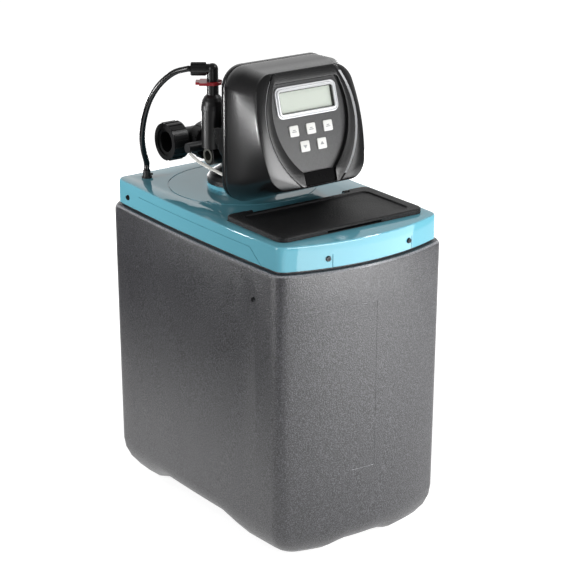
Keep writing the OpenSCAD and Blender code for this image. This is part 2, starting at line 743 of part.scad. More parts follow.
// Resin vessel and what is inside it
module vessel_shell() color("#2f4f7c") translate([0, neck_y, 0]) rotate_extrude()
    polygon(concat(lower_dome(0, 0, vessel_r, 14), upper_dome(0, neck_r, 12), [[neck_r, neck_top]],
                   [[neck_bore_r, neck_top]],
                   [for (i = [12:-1:0]) upper_dome(vessel_wall, neck_bore_r, 12)[i]],
                   [for (i = [14:-1:0]) lower_dome(vessel_wall, 0, vessel_r - vessel_wall, 14)[i]]));
module vessel_boot() color("#26272a") translate([0, neck_y, 0]) rotate_extrude()
    polygon(concat([[boot_r - 30, floor_z], [boot_r, floor_z]],
                   [for (i = [6:-1:0]) let (r = boot_r - 30 + 5 * i) [r, bottom_z(r, 0) - 0.1]]));
module resin_bed() color("#a5672f") translate([0, neck_y, 0]) rotate_extrude()
    polygon(concat(lower_dome(vessel_wall + 0.2, strainer_r + 0.3, vessel_r - vessel_wall - 0.2, 12),
                   [[vessel_r - vessel_wall - 0.2, resin_z], [riser_r + 0.2, resin_z],
                    [riser_r + 0.2, strainer_z + strainer_h + 0.3],
                    [strainer_r + 0.3, strainer_z + strainer_h + 0.3]]));
module riser_tube() color("#e4e4de") translate([0, neck_y, riser_z])
    ring(riser_r, riser_r - riser_wall, neck_top + 6 - riser_z);
module lower_strainer() color("#d8d8d2") translate([0, neck_y, strainer_z]) difference() {
    cylinder(r = strainer_r, h = strainer_h);
    translate([0, 0, riser_z - strainer_z]) cylinder(r = riser_r + run_clear, h = strainer_h);
    for (i = [1:8]) translate([0, 0, i * strainer_h / 9]) ring(strainer_r + 1, strainer_r - 3, 1.5);
}
module upper_strainer() color("#d8d8d2") translate([0, neck_y, thread_z - upper_strainer_h]) difference() {
    cylinder(r1 = riser_r + 6, r2 = neck_bore_r - 3, h = upper_strainer_h);
    translate([0, 0, -1]) cylinder(r = riser_r + run_clear, h = upper_strainer_h + 2);
}

// Control valve: foot flange, barrel, two water ports, brine column and drain arm
module valve_body() color("#18191b") difference() {
    union() {
        translate([0, neck_y, neck_top]) rotate_extrude() polygon([[0, -thread_len], [thread_r, -thread_len],
            [thread_r, 0], [neck_r, 0], [neck_r, 4], [flange_r, 4], [flange_r, 11], [flange_r - 4, 17],
            [flange_r - 14, 23], [tower_r, 28], [tower_r, piston_rise], [0, piston_rise]]);
        along_y(0, plate_rear, piston_z) cylinder(r = barrel_r, h = barrel_end - plate_rear);
        along_y(0, plate_rear, piston_z) cylinder(r = barrel_r + 10, h = 6);
        for (side = sides) along_y(side * port_x, neck_y - 4, port_z)
            cylinder(r = port_r, h = port_end_y - neck_y + 4);
        along_x(drain_x, column_y, port_z) cylinder(r = drain_r, h = -drain_x);
        translate([column_x, column_y, 0]) rotate_extrude() polygon(concat(
            [[0, column_z], [column_r - 1, column_z], [column_r - 1, ring_z - 3], [column_r, ring_z - 3]],
            [for (a = [0:15:60]) [column_r * cos(a), ring_z + 26 * sin(a)]],
            [[stem_r + 2.5, clip_z], [0, clip_z]]));
    }
    translate([0, neck_y, thread_z - 1]) cylinder(r = riser_r + run_clear, h = thread_len + 8);
    translate([0, neck_y, thread_z]) cylinder(r = riser_r - riser_wall, h = piston_z - thread_z);
    along_y(0, plate_rear - 1, piston_z) cylinder(r = barrel_bore_r, h = bore_end - plate_rear + 1);
    for (side = sides) along_y(side * port_x, port_bore_y, port_z) cylinder(r = port_bore_r, h = port_end_y);
    along_x(drain_x - 1, column_y, port_z) cylinder(r = drain_bore_r + 2, h = drain_len + 1);
    along_x(drain_x - 1, column_y, port_z) cylinder(r = drain_bore_r - 2, h = -drain_x);
    translate([column_x, column_y, column_z + 2]) cylinder(r = stem_r + run_clear, h = clip_z - column_z);
    along_x(-port_x - port_r - 1, sensor_y, port_z) cylinder(r = probe_r, h = probe_len + 1);
}
module seal_rings() color("#303236") for (i = [0:seal_count - 1])
    along_y(0, piston_front + i * (piston_len - seal_t) / (seal_count - 1), piston_z)
        ring(barrel_bore_r - run_clear / 2, piston_r + run_clear, seal_t);
module main_piston() color("#e9e7df") difference() {
    union() {
        along_y(0, piston_front, piston_z) cylinder(r = piston_r, h = piston_len);
        along_y(0, rod_front, piston_z) cylinder(r = rod_r, h = piston_front - rod_front + 1);
    }
    for (i = [1:3]) along_y(0, piston_front + i * piston_len / 4, piston_z)
        ring(piston_r + 1, piston_r - 3, 6);
}
module injector_nozzle() color("#e9e7df") translate([column_x, column_y, port_z + 20])
    difference() {
        cylinder(r = stem_r, h = 36);
        translate([0, 0, -1]) cylinder(r1 = 3.5, r2 = 1.2, h = 20);
        translate([0, 0, 15]) cylinder(r = 1.2, h = 30);
    }
module drain_sleeve() color("#dcdcd8") along_x(drain_x - 1.5, column_y, port_z) difference() {
    union() {
        cylinder(r = drain_bore_r + 2 - run_clear, h = drain_len);
        cylinder(r = drain_bore_r + 4, h = 1.4);
    }
    translate([0, 0, -1]) cylinder(r = drain_bore_r, h = drain_len + 2);
}

// Refill elbow, its clip and its nut
module refill_elbow() color("#161719") difference() {
    union() {
        translate([column_x, column_y, ring_z + 12]) cylinder(r = stem_r, h = refill_rise - 12);
        translate([column_x, column_y, clip_z + clip_t])
            cylinder(r = elbow_body_r, h = refill_z - clip_z - clip_t);
        translate(refill_c) sphere(r = elbow_body_r);
        at_refill(0) cylinder(r = arm_r, h = arm_len);
    }
    translate([column_x, column_y, ring_z]) cylinder(r = stem_r - 3, h = refill_rise);
    at_refill(0) cylinder(r = stem_r - 3, h = arm_len + 1);
}
module elbow_clip() color("#b5323a") translate([column_x, column_y, clip_z]) rotate(refill_angle)
    linear_extrude(clip_t) difference() {
        union() {
            circle(r = 16);
            translate([0, -16]) square([20, 32]);
            translate([18, -9]) square([8, 18]);
        }
        circle(r = stem_r + run_clear);
        translate([-30, -stem_r - run_clear]) square([30, 2 * (stem_r + run_clear)]);
    }
module elbow_nut() color("#161719") at_refill(grip_nut_start) difference() {
    union() {
        cylinder(r = grip_nut_r - 0.8, h = grip_nut_len);
        for (i = [0:11]) rotate(30 * i) translate([grip_nut_r - 1.6, -1, 1]) cube([1.6, 2, grip_nut_len - 2]);
    }
    translate([0, 0, -1]) cylinder(r = arm_r + run_clear, h = arm_len - grip_nut_start + 1.5);
    cylinder(r = tube_r + 0.3, h = grip_nut_len + 1);
}
module brine_tube() color("#141416") loft(sweep_rings(along(tube_route, 2), tube_r, tube_r, 10, [0, 0, 1]));
module tube_grommet() color("#1c1d1f") translate([tube_hole_x, tube_hole_y, 0]) difference() {
    union() {
        translate([0, 0, cover_under - 2]) cylinder(r = tube_r + 1.4, h = cover_wall + 3);
        translate([0, 0, cover_top + 0.1]) cylinder(r = tube_r + 3.5, h = 2.4);
        translate([0, 0, cover_top]) cylinder(r1 = tube_r + 2, r2 = tube_r + 1.2, h = 13);
        translate([0, -1.5, cover_top + 3]) cube([tube_r + 6, 3, 3]);
    }
    translate([0, 0, cover_under - 5]) cylinder(r = tube_r + 0.5, h = 40);
}

// Water fittings: coupling nut, elbow and union nut on each side
module coupling_nut(bore, length) difference() {
    union() {
        cylinder(r = nut_r - rib_t / 2, h = length);
        for (i = [0:nut_ribs - 1]) rotate(360 * i / nut_ribs) translate([nut_r - rib_t, -rib_w / 2, rib_end])
            cube([rib_t, rib_w, length - 2 * rib_end]);
    }
    translate([0, 0, -1]) cylinder(r = bore, h = length - nut_lip + 1);
    cylinder(r = spigot_r + nut_clear, h = length + 1);
}
module port_nut(side) along_y(side * port_x, nut_front_y, port_z)
    coupling_nut(port_r + nut_clear, port_nut_len);
module pipe_elbow(side) difference() {
    union() {
        along_y(side * port_x, flange_y, port_z) cylinder(r = port_r, h = port_flange_t);
        along_y(side * port_x, flange_y, port_z) cylinder(r = spigot_r, h = elbow_y - flange_y);
        translate([side * port_x, elbow_y, port_z]) sphere(r = spigot_r);
        translate([side * port_x, elbow_y, port_z]) rotate([0, 90 * side, 0]) {
            cylinder(r = spigot_r, h = arm_end);
            translate([0, 0, union_x - port_x - nut_len + nut_lip])
                cylinder(r = elbow_r, h = nut_len - nut_lip - mouth_depth);
        }
    }
    along_y(side * port_x, flange_y - 1, port_z) cylinder(r = water_r, h = elbow_y - flange_y + 1);
    translate([side * port_x, elbow_y, port_z]) sphere(r = water_r);
    translate([side * port_x, elbow_y, port_z]) rotate([0, 90 * side, 0]) {
        cylinder(r = water_r, h = union_x);
        translate([0, 0, arm_end - socket_len]) cylinder(r = socket_r, h = socket_len + 5);
    }
}
module union_nut(side) translate([side * union_x, elbow_y, port_z]) rotate([0, -90 * side, 0])
    coupling_nut(elbow_r + nut_clear, nut_len);
module outlet_nut() color("#17181a") port_nut(-1);
module inlet_nut() color("#17181a") port_nut(1);
module outlet_elbow() color("#1d1e20") pipe_elbow(-1);
module inlet_elbow() color("#1d1e20") pipe_elbow(1);
module outlet_union() color("#17181a") union_nut(-1);
module inlet_union() color("#17181a") union_nut(1);
module port_gaskets() color("#3a3b3d") for (side = sides)
    along_y(side * port_x, gasket_y, port_z) ring(port_r, port_bore_r, gasket_t);

// Flow meter in the outlet port
module meter_turbine() color("#e9e7df") along_y(-port_x, turbine_y, port_z) difference() {
    union() {
        cylinder(r = 4, h = turbine_t);
        for (i = [0:5]) rotate(60 * i) translate([3, -0.8, 1]) cube([turbine_r - 3, 1.6, turbine_t - 2]);
    }
    translate([0, 0, -1]) cylinder(r = shaft_r + run_clear, h = turbine_t + 2);
}
module turbine_shaft() color("#b9bcc0") {
    along_y(-port_x, port_bore_y, port_z) cylinder(r = shaft_r, h = port_end_y - port_bore_y);
    along_y(-port_x, turbine_y + turbine_t + 1, port_z) for (i = [0:2])
        rotate(120 * i) translate([0, -1, 0]) cube([port_bore_r - run_clear, 2, 3]);
}
module meter_sensor() color("#222326") along_x(sensor_x, sensor_y, port_z) {
    cylinder(r = sensor_r, h = sensor_len);
    translate([0, 0, sensor_len - 1]) cylinder(r = probe_r - run_clear, h = probe_len);
}
module meter_cable() color("#f1f1ee")
    loft(sweep_rings(along(ribbon_route, 3), ribbon_w / 2, ribbon_t / 2, 8, [0, 1, 1]));

// Brine well and its float valve
module brine_well() color("#e3e3dd") difference() {
    union() {
        translate([well_x, well_y, well_bottom_z]) cylinder(r = well_r, h = well_top_z - well_bottom_z);
        along_x(inner_wall_x + well_boss_gap, well_y, well_screw_z)
            cylinder(r = well_boss_r, h = well_x - well_r - inner_wall_x + well_wall);
    }
    translate([well_x, well_y, well_bottom_z - 1]) cylinder(r = well_r - well_wall, h = well_top_z);
    along_x(inner_wall_x - 1, well_y, well_screw_z) cylinder(r = screw_r, h = 14);
    along_y(well_x, well_y, spigot_end.z) cylinder(r = pickup_r + 0.3, h = well_r + 5);
    for (a = [0:60:300]) translate([well_x, well_y, well_bottom_z + 12]) rotate([0, 90, a])
        cylinder(r = 5, h = well_r + 5);
}
module well_cap() color("#26272a") translate([well_x, well_y, well_top_z]) {
    cylinder(r = well_r + 2, h = cap_t);
    translate([0, 0, -cap_lip]) ring(well_r - well_wall - 0.2, well_r - well_wall - 2.2, cap_lip + 1);
}
module brine_valve() color("#2a2b2e") difference() {
    union() {
        translate([pickup_x, well_y, brine_valve_z]) cylinder(r = brine_valve_r, h = brine_valve_h);
        translate([pickup_x, well_y - bridge_w / 2, brine_valve_z])
            cube([float_x - pickup_x, bridge_w, bridge_t]);
        translate([float_x, well_y, brine_valve_z]) cylinder(r = bridge_w / 2, h = bridge_t);
        translate([pickup_x, well_y - bridge_w / 2, brine_valve_z + channel_lift])
            cube([well_x - pickup_x + bridge_w / 2, bridge_w, channel_h]);
        along_y(well_x, well_y, spigot_end.z) cylinder(r = pickup_r, h = spigot_len - spigot_root);
        along_y(well_x, well_y, spigot_end.z) cylinder(r = tube_r - 1.6, h = spigot_len);
    }
    translate([pickup_x, well_y, brine_valve_z - 1]) cylinder(r = pickup_r + run_clear, h = socket_depth + 1);
    translate([float_x, well_y, brine_valve_z - 1]) cylinder(r = guide_r + run_clear, h = brine_valve_h);
}
module pickup_tube() color("#e9e7df") translate([pickup_x, well_y, well_bottom_z + check_h - 4])
    ring(pickup_r, pickup_r - 1.5, brine_valve_z + socket_depth - well_bottom_z - check_h + 4);
module air_check() color("#2a2b2e") translate([pickup_x, well_y, well_bottom_z]) difference() {
    cylinder(r = check_r, h = check_h);
    translate([0, 0, check_h - 4]) cylinder(r = pickup_r + run_clear, h = 10);
    translate([0, 0, 3]) cylinder(r = pickup_r - 1.5, h = check_h);
    for (a = [0:60:300]) rotate([0, 90, a]) translate([-8, 0, 4]) cylinder(r = 2, h = check_r);
}
module float_rod() color("#d4d6d8") translate([float_x, well_y, 0]) {
    top = brine_valve_z + bridge_t + collar_gap + rod_collar_t;
    translate([0, 0, float_z - rod_tail]) cylinder(r = guide_r, h = top - float_z + rod_tail);
    translate([0, 0, top - rod_collar_t]) cylinder(r = rod_collar_r, h = rod_collar_t);
}
module brine_float() color("#e7c94e") translate([float_x, well_y, float_z]) difference() {
    union() {
        translate([0, 0, 4]) cylinder(r = float_r, h = float_h - 8);
        cylinder(r1 = float_r - 4, r2 = float_r, h = 4);
        translate([0, 0, float_h - 4]) cylinder(r1 = float_r, r2 = float_r - 4, h = 4);
    }
    translate([0, 0, -1]) cylinder(r = guide_r, h = float_h + 2);
}

// Control head: back plate, shell and face
module head_outline(in) rounded(head_w - 2 * in, head_h - 2 * in, head_corner_r - in);
module face_outline(in) {
    band = face_corner_v * (face_bow_r - in) / (face_bow_r - face_corner_r);
    intersection() {
        translate([face_w / 2 - face_bow_r, 0]) circle(r = face_bow_r - in, $fn = face_bow_fn);
        translate([face_bow_r - face_w / 2, 0]) circle(r = face_bow_r - in, $fn = face_bow_fn);
        square([face_w, 2 * band], center = true);
    }
    for (x = sides, y = sides) translate([x * face_corner_u, y * face_corner_v]) circle(r = face_corner_r - in);
    square([2 * face_corner_u, face_h - 2 * in], center = true);
}
module crown_plan(in) intersection() {
    translate([trim_half_w - trim_arc_r, trim_v]) circle(r = trim_arc_r + plateau_lip - in, $fn = face_bow_fn);
    translate([trim_arc_r - trim_half_w, trim_v]) circle(r = trim_arc_r + plateau_lip - in, $fn = face_bow_fn);
    square([face_w, 2 * (crown_half_h - in)], center = true);
}
module back_plate() color("#26272a") {
    difference() {
        on_back(plate_rear) linear_extrude(back_t) head_outline(0);
        on_back(plate_rear - back_web) linear_extrude(back_t) head_outline(shell_wall + 1);
        along_y(0, 0, piston_z) cylinder(r = rod_r + 3, h = 30);
        along_y(head_w / 2 - 40, 0, head_z + 30) cylinder(r = 5, h = 30);
    }
    for (side = sides) side_tab(side);
}
module shell_solid() hull() {
    on_back(back_y - seam) linear_extrude(shell_rim) head_outline(0, $fn = 32);
    on_face(-1) linear_extrude(1 + border_rise) face_outline(0, $fn = 32);
    on_face(crown - 1) linear_extrude(1) crown_plan(0);
}
module shell_hollow() hull() {
    on_back(back_y + 1) linear_extrude(shell_rim) head_outline(shell_wall, $fn = 32);
    on_face(-shell_wall - 1) linear_extrude(1) face_outline(shell_wall, $fn = 32);
}
module panel_plan(grow) intersection() {
    translate([panel_half_w - panel_arc_r, panel_v]) circle(r = panel_arc_r + grow);
    translate([panel_arc_r - panel_half_w, panel_v]) circle(r = panel_arc_r + grow);
    translate([-face_w / 2, panel_bottom]) square([face_w, panel_top + grow - panel_bottom]);
}
module border_hollow() difference() {
    hull() {
        on_face(-shell_wall - 1) linear_extrude(1) face_outline(shell_wall, $fn = 32);
        on_face(crown - shell_wall - 1) linear_extrude(1) crown_plan(shell_wall);
    }
    on_face(-shell_wall - 2) linear_extrude(crown + shell_wall) {
        panel_plan(shell_wall);
        plate_plan(shell_wall);
    }
}
module board_bosses() for (x = [-1, 1], y = [-1, 1]) on_face(board_front)
    translate([x * (board_w / 2 - boss_in), board_v + y * (board_h / 2 - boss_in), 0])
        cylinder(r = boss_r, h = crown - shell_wall - board_front + 0.5);
module front_shell() color("#1a1b1d") difference() {
    union() {
        difference() {
            shell_solid();
            shell_hollow();
            border_hollow();
        }
        board_bosses();
    }
    on_face() linear_extrude(crown + 5) {
        panel_plan(0);
        plate_plan(plate_gap);
    }
    on_face(board_front) linear_extrude(-board_front + 1) {
        window_plan(window_lap);
        for (c = button_centres) translate(c)
            rounded(button_w + 2 * button_gap, button_w + 2 * button_gap, button_r);
    }
}
module side_tab(side) translate([side > 0 ? head_w / 2 - shell_wall : -head_w / 2, 0, 0])
    rotate([90, 0, 90]) linear_extrude(shell_wall)
        translate([plate_rear, head_mid_z])
            polygon([[-back_t, -tab_drop], [tab_out - tab_slant, -tab_drop + tab_lift], [tab_out, -tab_waist],
                     [tab_out, tab_rise / 2], [0, tab_rise], [-back_t, tab_rise]]);
module trim_arcs() color("#c9ccd0") on_face(crown) linear_extrude(trim_t) for (side = sides) intersection() {
    translate([side * (trim_half_w - trim_arc_r), trim_v]) difference() {
        circle(r = trim_arc_r);
        circle(r = trim_arc_r - trim_w);
    }
    translate([side > 0 ? trim_in : -trim_out, -crown_half_h]) square([trim_out - trim_in, 2 * crown_half_h]);
}
module plate_plan(grow) translate([0, name_plate_v])
    square([name_plate_w + 2 * grow, name_plate_h + 2 * grow], center = true);
module name_plate() color("#101113") on_face() linear_extrude(name_plate_t) plate_plan(0);
module window_plan(grow) translate([0, window_v])
    square([window_w + 2 * grow, window_h + 2 * grow], center = true);
module display_frame() color("#c5c8cb") on_face() linear_extrude(bezel_t) difference() {
    translate([0, window_v]) rounded(window_w + 2 * bezel_border, window_h + 2 * bezel_border, bezel_r);
    window_plan(0);
}
module display_window() color("#d9dfda") on_face(-window_depth) linear_extrude(window_depth)
    window_plan(window_lap - window_clear);
module display_module() color("#b9c4b4") on_face(board_front)
    linear_extrude(-board_front - window_depth - soft_gap) window_plan(0.5);
module circuit_board() color("#2c6b3f") on_face(board_front - board_t) translate([0, board_v, 0])
    linear_extrude(board_t) square([board_w, board_h], center = true);
module tact_switches() color("#8d9094") for (c = button_centres) on_face(board_front) translate(c) {
    translate([-3, -3, 0]) cube([6, 6, 4]);
    cylinder(r = 1.8, h = button_bottom - button_travel - switch_gap - board_front);
}
module push_button(i) color("#f2f2f0") on_face(button_bottom) translate(button_centres[i]) {
    linear_extrude(button_proud - button_bottom) rounded(button_w, button_w, button_r);
    linear_extrude(-shell_wall - button_bottom - 0.3) rounded(button_w + 2.4, button_w + 2.4, button_r);
}
module button_left() push_button(0);
module button_middle() push_button(1);
module button_right() push_button(2);
module button_down() push_button(3);
module button_up() push_button(4);

// Drive: bracket, motor and three meshing gears
pressure_angle = 20;
function degrees(a) = a * 180 / PI;
// Angle unrolled from the base circle when an involute reaches radius r
function unrolled(base, r) = degrees(sqrt(r * r - base * base) / base);
function involute(base, a) = base * [cos(a) + a * PI / 180 * sin(a), sin(a) - a * PI / 180 * cos(a)];
function turned(p, a) = [p.x * cos(a) - p.y * sin(a), p.x * sin(a) + p.y * cos(a)];
function gear_points(teeth) =
    let (pitch = gear_module * teeth / 2, base = pitch * cos(pressure_angle),
         tip = pitch + gear_module * 0.9, root = pitch - gear_module * 1.25,
         half = 90 / teeth - degrees(backlash / 2 / pitch) + unrolled(base, pitch) - pressure_angle,
         from = root > base ? unrolled(base, root) : 0, to = unrolled(base, tip),
         side = [for (i = [0:5]) turned(involute(base, from + (to - from) * i / 5), -half)],
         mirrored = [for (i = [5:-1:0]) [side[i].x, -side[i].y]],
         tooth = concat([root * polar(-half - 1)], side, mirrored, [root * polar(half + 1)]))
    [for (k = [0:teeth - 1], p = tooth) turned(p, 360 * k / teeth)];
module spur_gear(c, teeth, phase) translate([c.x, gear_y, c.y]) rotate([90, 0, 0])
    linear_extrude(gear_t) rotate(phase) polygon(gear_points(teeth));
module gear_axis(c, y) along_y(c.x, y, c.y) children();
module drive_gear() color("#efede4") difference() {
    union() {
        spur_gear(drive_c, drive_teeth, drive_phase);
        gear_axis(drive_c, gear_y) cylinder(r = hub_r, h = bracket_y + bracket_t - gear_y);
    }
    gear_axis(drive_c, gear_y - gear_t - 1) cylinder(r = rod_r + run_clear, h = 40);
}
module reduction_gear() color("#efede4") difference() {
    spur_gear(idler_c, idler_teeth, idler_phase);
    gear_axis(idler_c, gear_y - gear_t - 1) cylinder(r = idler_pin_r + run_clear, h = gear_t + 2);
}
module motor_pinion() color("#c9a24a") {
    spur_gear(pinion_c, pinion_teeth, pinion_phase);
    gear_axis(pinion_c, cover_plate_y - cover_plate_t - 6) cylinder(r = motor_shaft_r, h = 16);
}
bracket_w = 130;
bracket_drop = 52;
bracket_rise = 28;
bracket_low = piston_z - bracket_drop;
bracket_high = pinion_c.y + bracket_rise;
left_post_x = -30;
right_post_out = 31;
top_post_rise = 18;
low_post_drop = 30;
posts = [[left_post_x, pinion_c.y + top_post_rise], [idler_c.x + right_post_out, pinion_c.y + top_post_rise],
         [idler_c.x + right_post_out, idler_c.y - low_post_drop]];
module drive_bracket() color("#303134") {
    difference() {
        translate([-bracket_w / 2, bracket_y, bracket_low])
            cube([bracket_w, bracket_t, bracket_high - bracket_low]);
        gear_axis(drive_c, bracket_y - 1) cylinder(r = hub_r + run_clear, h = bracket_t + 2);
    }
    gear_axis(idler_c, cover_plate_y) cylinder(r = idler_pin_r, h = bracket_y - cover_plate_y + 1);
    for (p = posts) gear_axis(p, cover_plate_y) cylinder(r = 4, h = bracket_y - cover_plate_y + 1);
    for (x = [-1, 1], z = [bracket_low + 8, bracket_high - 8]) along_y(x * (bracket_w / 2 - 8), bracket_y, z)
        cylinder(r = 5, h = plate_rear - back_web - bracket_y);
}
module gear_cover() color("#303134") difference() {
    translate([posts[0].x - post_margin, cover_plate_y - cover_plate_t, idler_c.y - cover_plate_drop])
        cube([posts[1].x - posts[0].x + 2 * post_margin, cover_plate_t,
              posts[0].y - idler_c.y + cover_plate_drop + post_margin]);
    gear_axis(pinion_c, cover_plate_y - 10) cylinder(r = motor_shaft_r + 1.5, h = 20);
}
module drive_motor() color("#9a9da2") difference() {
    gear_axis(pinion_c, cover_plate_y - cover_plate_t - motor_len) cylinder(r = motor_r, h = motor_len);
    gear_axis(pinion_c, cover_plate_y - cover_plate_t - 7) cylinder(r = motor_shaft_r + run_clear, h = 10);
}

cabinet_tank();
top_cover();
cover_screws();
well_screw();
salt_lid();
hinge_pins();
vessel_shell();
vessel_boot();
resin_bed();
riser_tube();
lower_strainer();
upper_strainer();
valve_body();
seal_rings();
main_piston();
injector_nozzle();
drain_sleeve();
refill_elbow();
elbow_clip();
elbow_nut();
brine_tube();
tube_grommet();
outlet_nut();
inlet_nut();
outlet_elbow();
inlet_elbow();
outlet_union();
inlet_union();
port_gaskets();
meter_turbine();
turbine_shaft();
meter_sensor();
meter_cable();
brine_well();
well_cap();
brine_valve();
pickup_tube();
air_check();
float_rod();
brine_float();
back_plate();
drive_bracket();
gear_cover();
drive_motor();
motor_pinion();
reduction_gear();
drive_gear();
circuit_board();
display_module();
display_window();
display_frame();
front_shell();
trim_arcs();
name_plate();
tact_switches();
button_left();
button_middle();
button_right();
button_down();
button_up();
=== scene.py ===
# %% [markdown]
# # A compact water softener
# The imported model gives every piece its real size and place. This lesson dresses it: the pieces that the
# eye meets first are modelled again with soft edges and smooth skins, and every surface gets the finish of
# its real material. Everything is in metres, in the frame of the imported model, so no piece has to be fitted
# afterwards.

# %% Load the frame
import math

import bmesh
import bpy
from mathutils import Matrix, Vector


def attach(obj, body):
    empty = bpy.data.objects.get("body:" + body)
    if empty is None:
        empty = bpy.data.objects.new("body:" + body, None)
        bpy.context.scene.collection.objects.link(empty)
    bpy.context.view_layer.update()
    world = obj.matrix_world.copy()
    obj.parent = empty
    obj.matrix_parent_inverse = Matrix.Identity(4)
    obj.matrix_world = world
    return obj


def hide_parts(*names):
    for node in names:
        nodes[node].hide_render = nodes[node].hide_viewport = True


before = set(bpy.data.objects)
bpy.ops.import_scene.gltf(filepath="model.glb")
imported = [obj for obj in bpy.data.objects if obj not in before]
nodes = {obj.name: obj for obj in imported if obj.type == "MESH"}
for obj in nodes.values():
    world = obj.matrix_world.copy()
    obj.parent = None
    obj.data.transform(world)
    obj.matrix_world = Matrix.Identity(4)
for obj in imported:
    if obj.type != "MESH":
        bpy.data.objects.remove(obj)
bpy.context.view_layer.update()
MM = 0.001

# %% [markdown]
# ## Camera
# The photograph was taken from the front left, a little above the head, with a long lens. A long lens keeps
# upright edges nearly parallel, so the camera stands more than three metres away and its lens is 135 mm.

# %% Camera
CAMERA_PLACE = Vector((-1.8407, -2.5869, 1.4572))
CAMERA_SIGHT = Vector((0.5506, 0.7694, -0.3238))
LENS_MM = 135.5
LIFT_SHIFT = -0.0023
SENSOR_MM = 36.0
camera_data = bpy.data.cameras.new("camera")
camera_data.lens = LENS_MM
camera_data.sensor_width = SENSOR_MM
camera_data.shift_y = LIFT_SHIFT
camera = bpy.data.objects.new("camera", camera_data)
camera.location = CAMERA_PLACE
camera.rotation_euler = CAMERA_SIGHT.to_track_quat("-Z", "Y").to_euler()
bpy.context.scene.collection.objects.link(camera)
bpy.context.scene.camera = camera
bpy.context.scene.view_settings.view_transform = "Standard"
print("camera stands", round(CAMERA_PLACE.length, 2), "m from the origin")

# %% [markdown]
# ## Helpers for materials
# A node tree is wordy to write, so one function adds a node, sets its inputs or properties and links other
# sockets into it. Colours are written as they look on a screen and turned to linear light by one function.

# %% Colour and node helpers
def linear(hex_colour):
    """An sRGB hex colour as linear red, green, blue and alpha."""
    parts = [int(hex_colour[i:i + 2], 16) / 255 for i in (1, 3, 5)]
    light = [c / 12.92 if c <= 0.04045 else ((c + 0.055) / 1.055) ** 2.4 for c in parts]
    return (*light, 1.0)


def add_node(tree, kind, settings=None, links=None):
    """Adds one node, with its settings by name or socket number and with links into its sockets."""
    node = tree.nodes.new(kind)
    for key, value in (settings or {}).items():
        if isinstance(key, int) or key in node.inputs:
            node.inputs[key].default_value = value
        else:
            setattr(node, key, value)
    for key, source in (links or {}).items():
        tree.links.new(source, node.inputs[key])
    return node


def new_finish(name, colour, roughness, **sockets):
    """A material with its shader's own sockets set, and the tree and shader to add detail to."""
    finish = bpy.data.materials.new(name)
    finish.use_nodes = True
    tree = finish.node_tree
    shader = tree.nodes["Principled BSDF"]
    shader.inputs["Base Color"].default_value = linear(colour)
    shader.inputs["Roughness"].default_value = roughness
    for key, value in sockets.items():
        shader.inputs[key.replace("_", " ")].default_value = value
    return finish, tree, shader


# %% [markdown]
# ## Studio
# The photograph shows the softener on pure white. A wide roll of white paper runs under it and away from
# the camera, and the room behind it is white too. The room on the photographer's side is dark, and that is
# what makes black plastic look black: it mirrors the dark room, and only its edges and tilted faces catch a
# softbox. The camera sees white all round, from any side. Only mirrors and glass see where the paper ends.

# %% Paper roll on the floor
FLOOR_SIZE = 24.0
# Where the paper ends on each side of the picture's middle, how it spreads and how softly it ends, in metres
PAPER_LEFT = 0.5
PAPER_SPREAD = 0.15
PAPER_RIGHT = 2.0
PAPER_FADE = 0.35
# The glow near the object stays under white, so that the shadow shows
SHADOW_GLOW = 0.86
GLOW_NEAR = 0.5
GLOW_FAR = 1.2
PAPER_WHITE = "#a6a6a6"
DARK_FLOOR = "#2a2a2a"


def seen_glow(tree, mirrored_glow):
    """White for the camera, a given glow in mirrors and glass, and nothing as light on the object."""
    path = add_node(tree, "ShaderNodeLightPath")
    in_mirrors = add_node(tree, "ShaderNodeMath", {"operation": "MAXIMUM"},
                          {0: path.outputs["Is Glossy Ray"], 1: path.outputs["Is Transmission Ray"]})
    mirrored = add_node(tree, "ShaderNodeMath", {"operation": "MULTIPLY"},
                        {0: in_mirrors.outputs[0], 1: mirrored_glow})
    seen = add_node(tree, "ShaderNodeMath", {"operation": "MAXIMUM"},
                    {0: path.outputs["Is Camera Ray"], 1: mirrored.outputs[0]})
    return seen.outputs[0]


# A matte paper: white, with only the soft shadow under the object left to see
paper, tree, shader = new_finish("white_paper_roll", PAPER_WHITE, 0.9, Emission_Color=linear("#ffffff"))
along = Vector((CAMERA_SIGHT.x, CAMERA_SIGHT.y, 0)).normalized()
place = add_node(tree, "ShaderNodeTexCoord").outputs["Object"]
across = add_node(tree, "ShaderNodeVectorMath", {"operation": "DOT_PRODUCT", 1: (along.y, -along.x, 0)},
                  {0: place})
beyond = add_node(tree, "ShaderNodeVectorMath", {"operation": "DOT_PRODUCT", 1: along}, {0: place})
inside = add_node(tree, "ShaderNodeMath", {"operation": "MULTIPLY_ADD", 1: PAPER_SPREAD},
                  {0: beyond.outputs["Value"], 2: across.outputs["Value"]})
left_part = add_node(tree, "ShaderNodeMapRange",
                     {"From Min": -PAPER_LEFT - PAPER_FADE, "From Max": -PAPER_LEFT},
                     {"Value": inside.outputs[0]})
right_part = add_node(tree, "ShaderNodeMapRange",
                      {"From Min": PAPER_RIGHT + PAPER_FADE, "From Max": PAPER_RIGHT},
                      {"Value": across.outputs["Value"]})
on_paper = add_node(tree, "ShaderNodeMath", {"operation": "MULTIPLY"},
                    {0: left_part.outputs[0], 1: right_part.outputs[0]})
ground = add_node(tree, "ShaderNodeMix", {"data_type": "RGBA", 6: linear(DARK_FLOOR), 7: linear(PAPER_WHITE)},
                  {0: on_paper.outputs[0]})
tree.links.new(ground.outputs[2], shader.inputs["Base Color"])
reach = add_node(tree, "ShaderNodeVectorMath", {"operation": "LENGTH"}, {0: place})
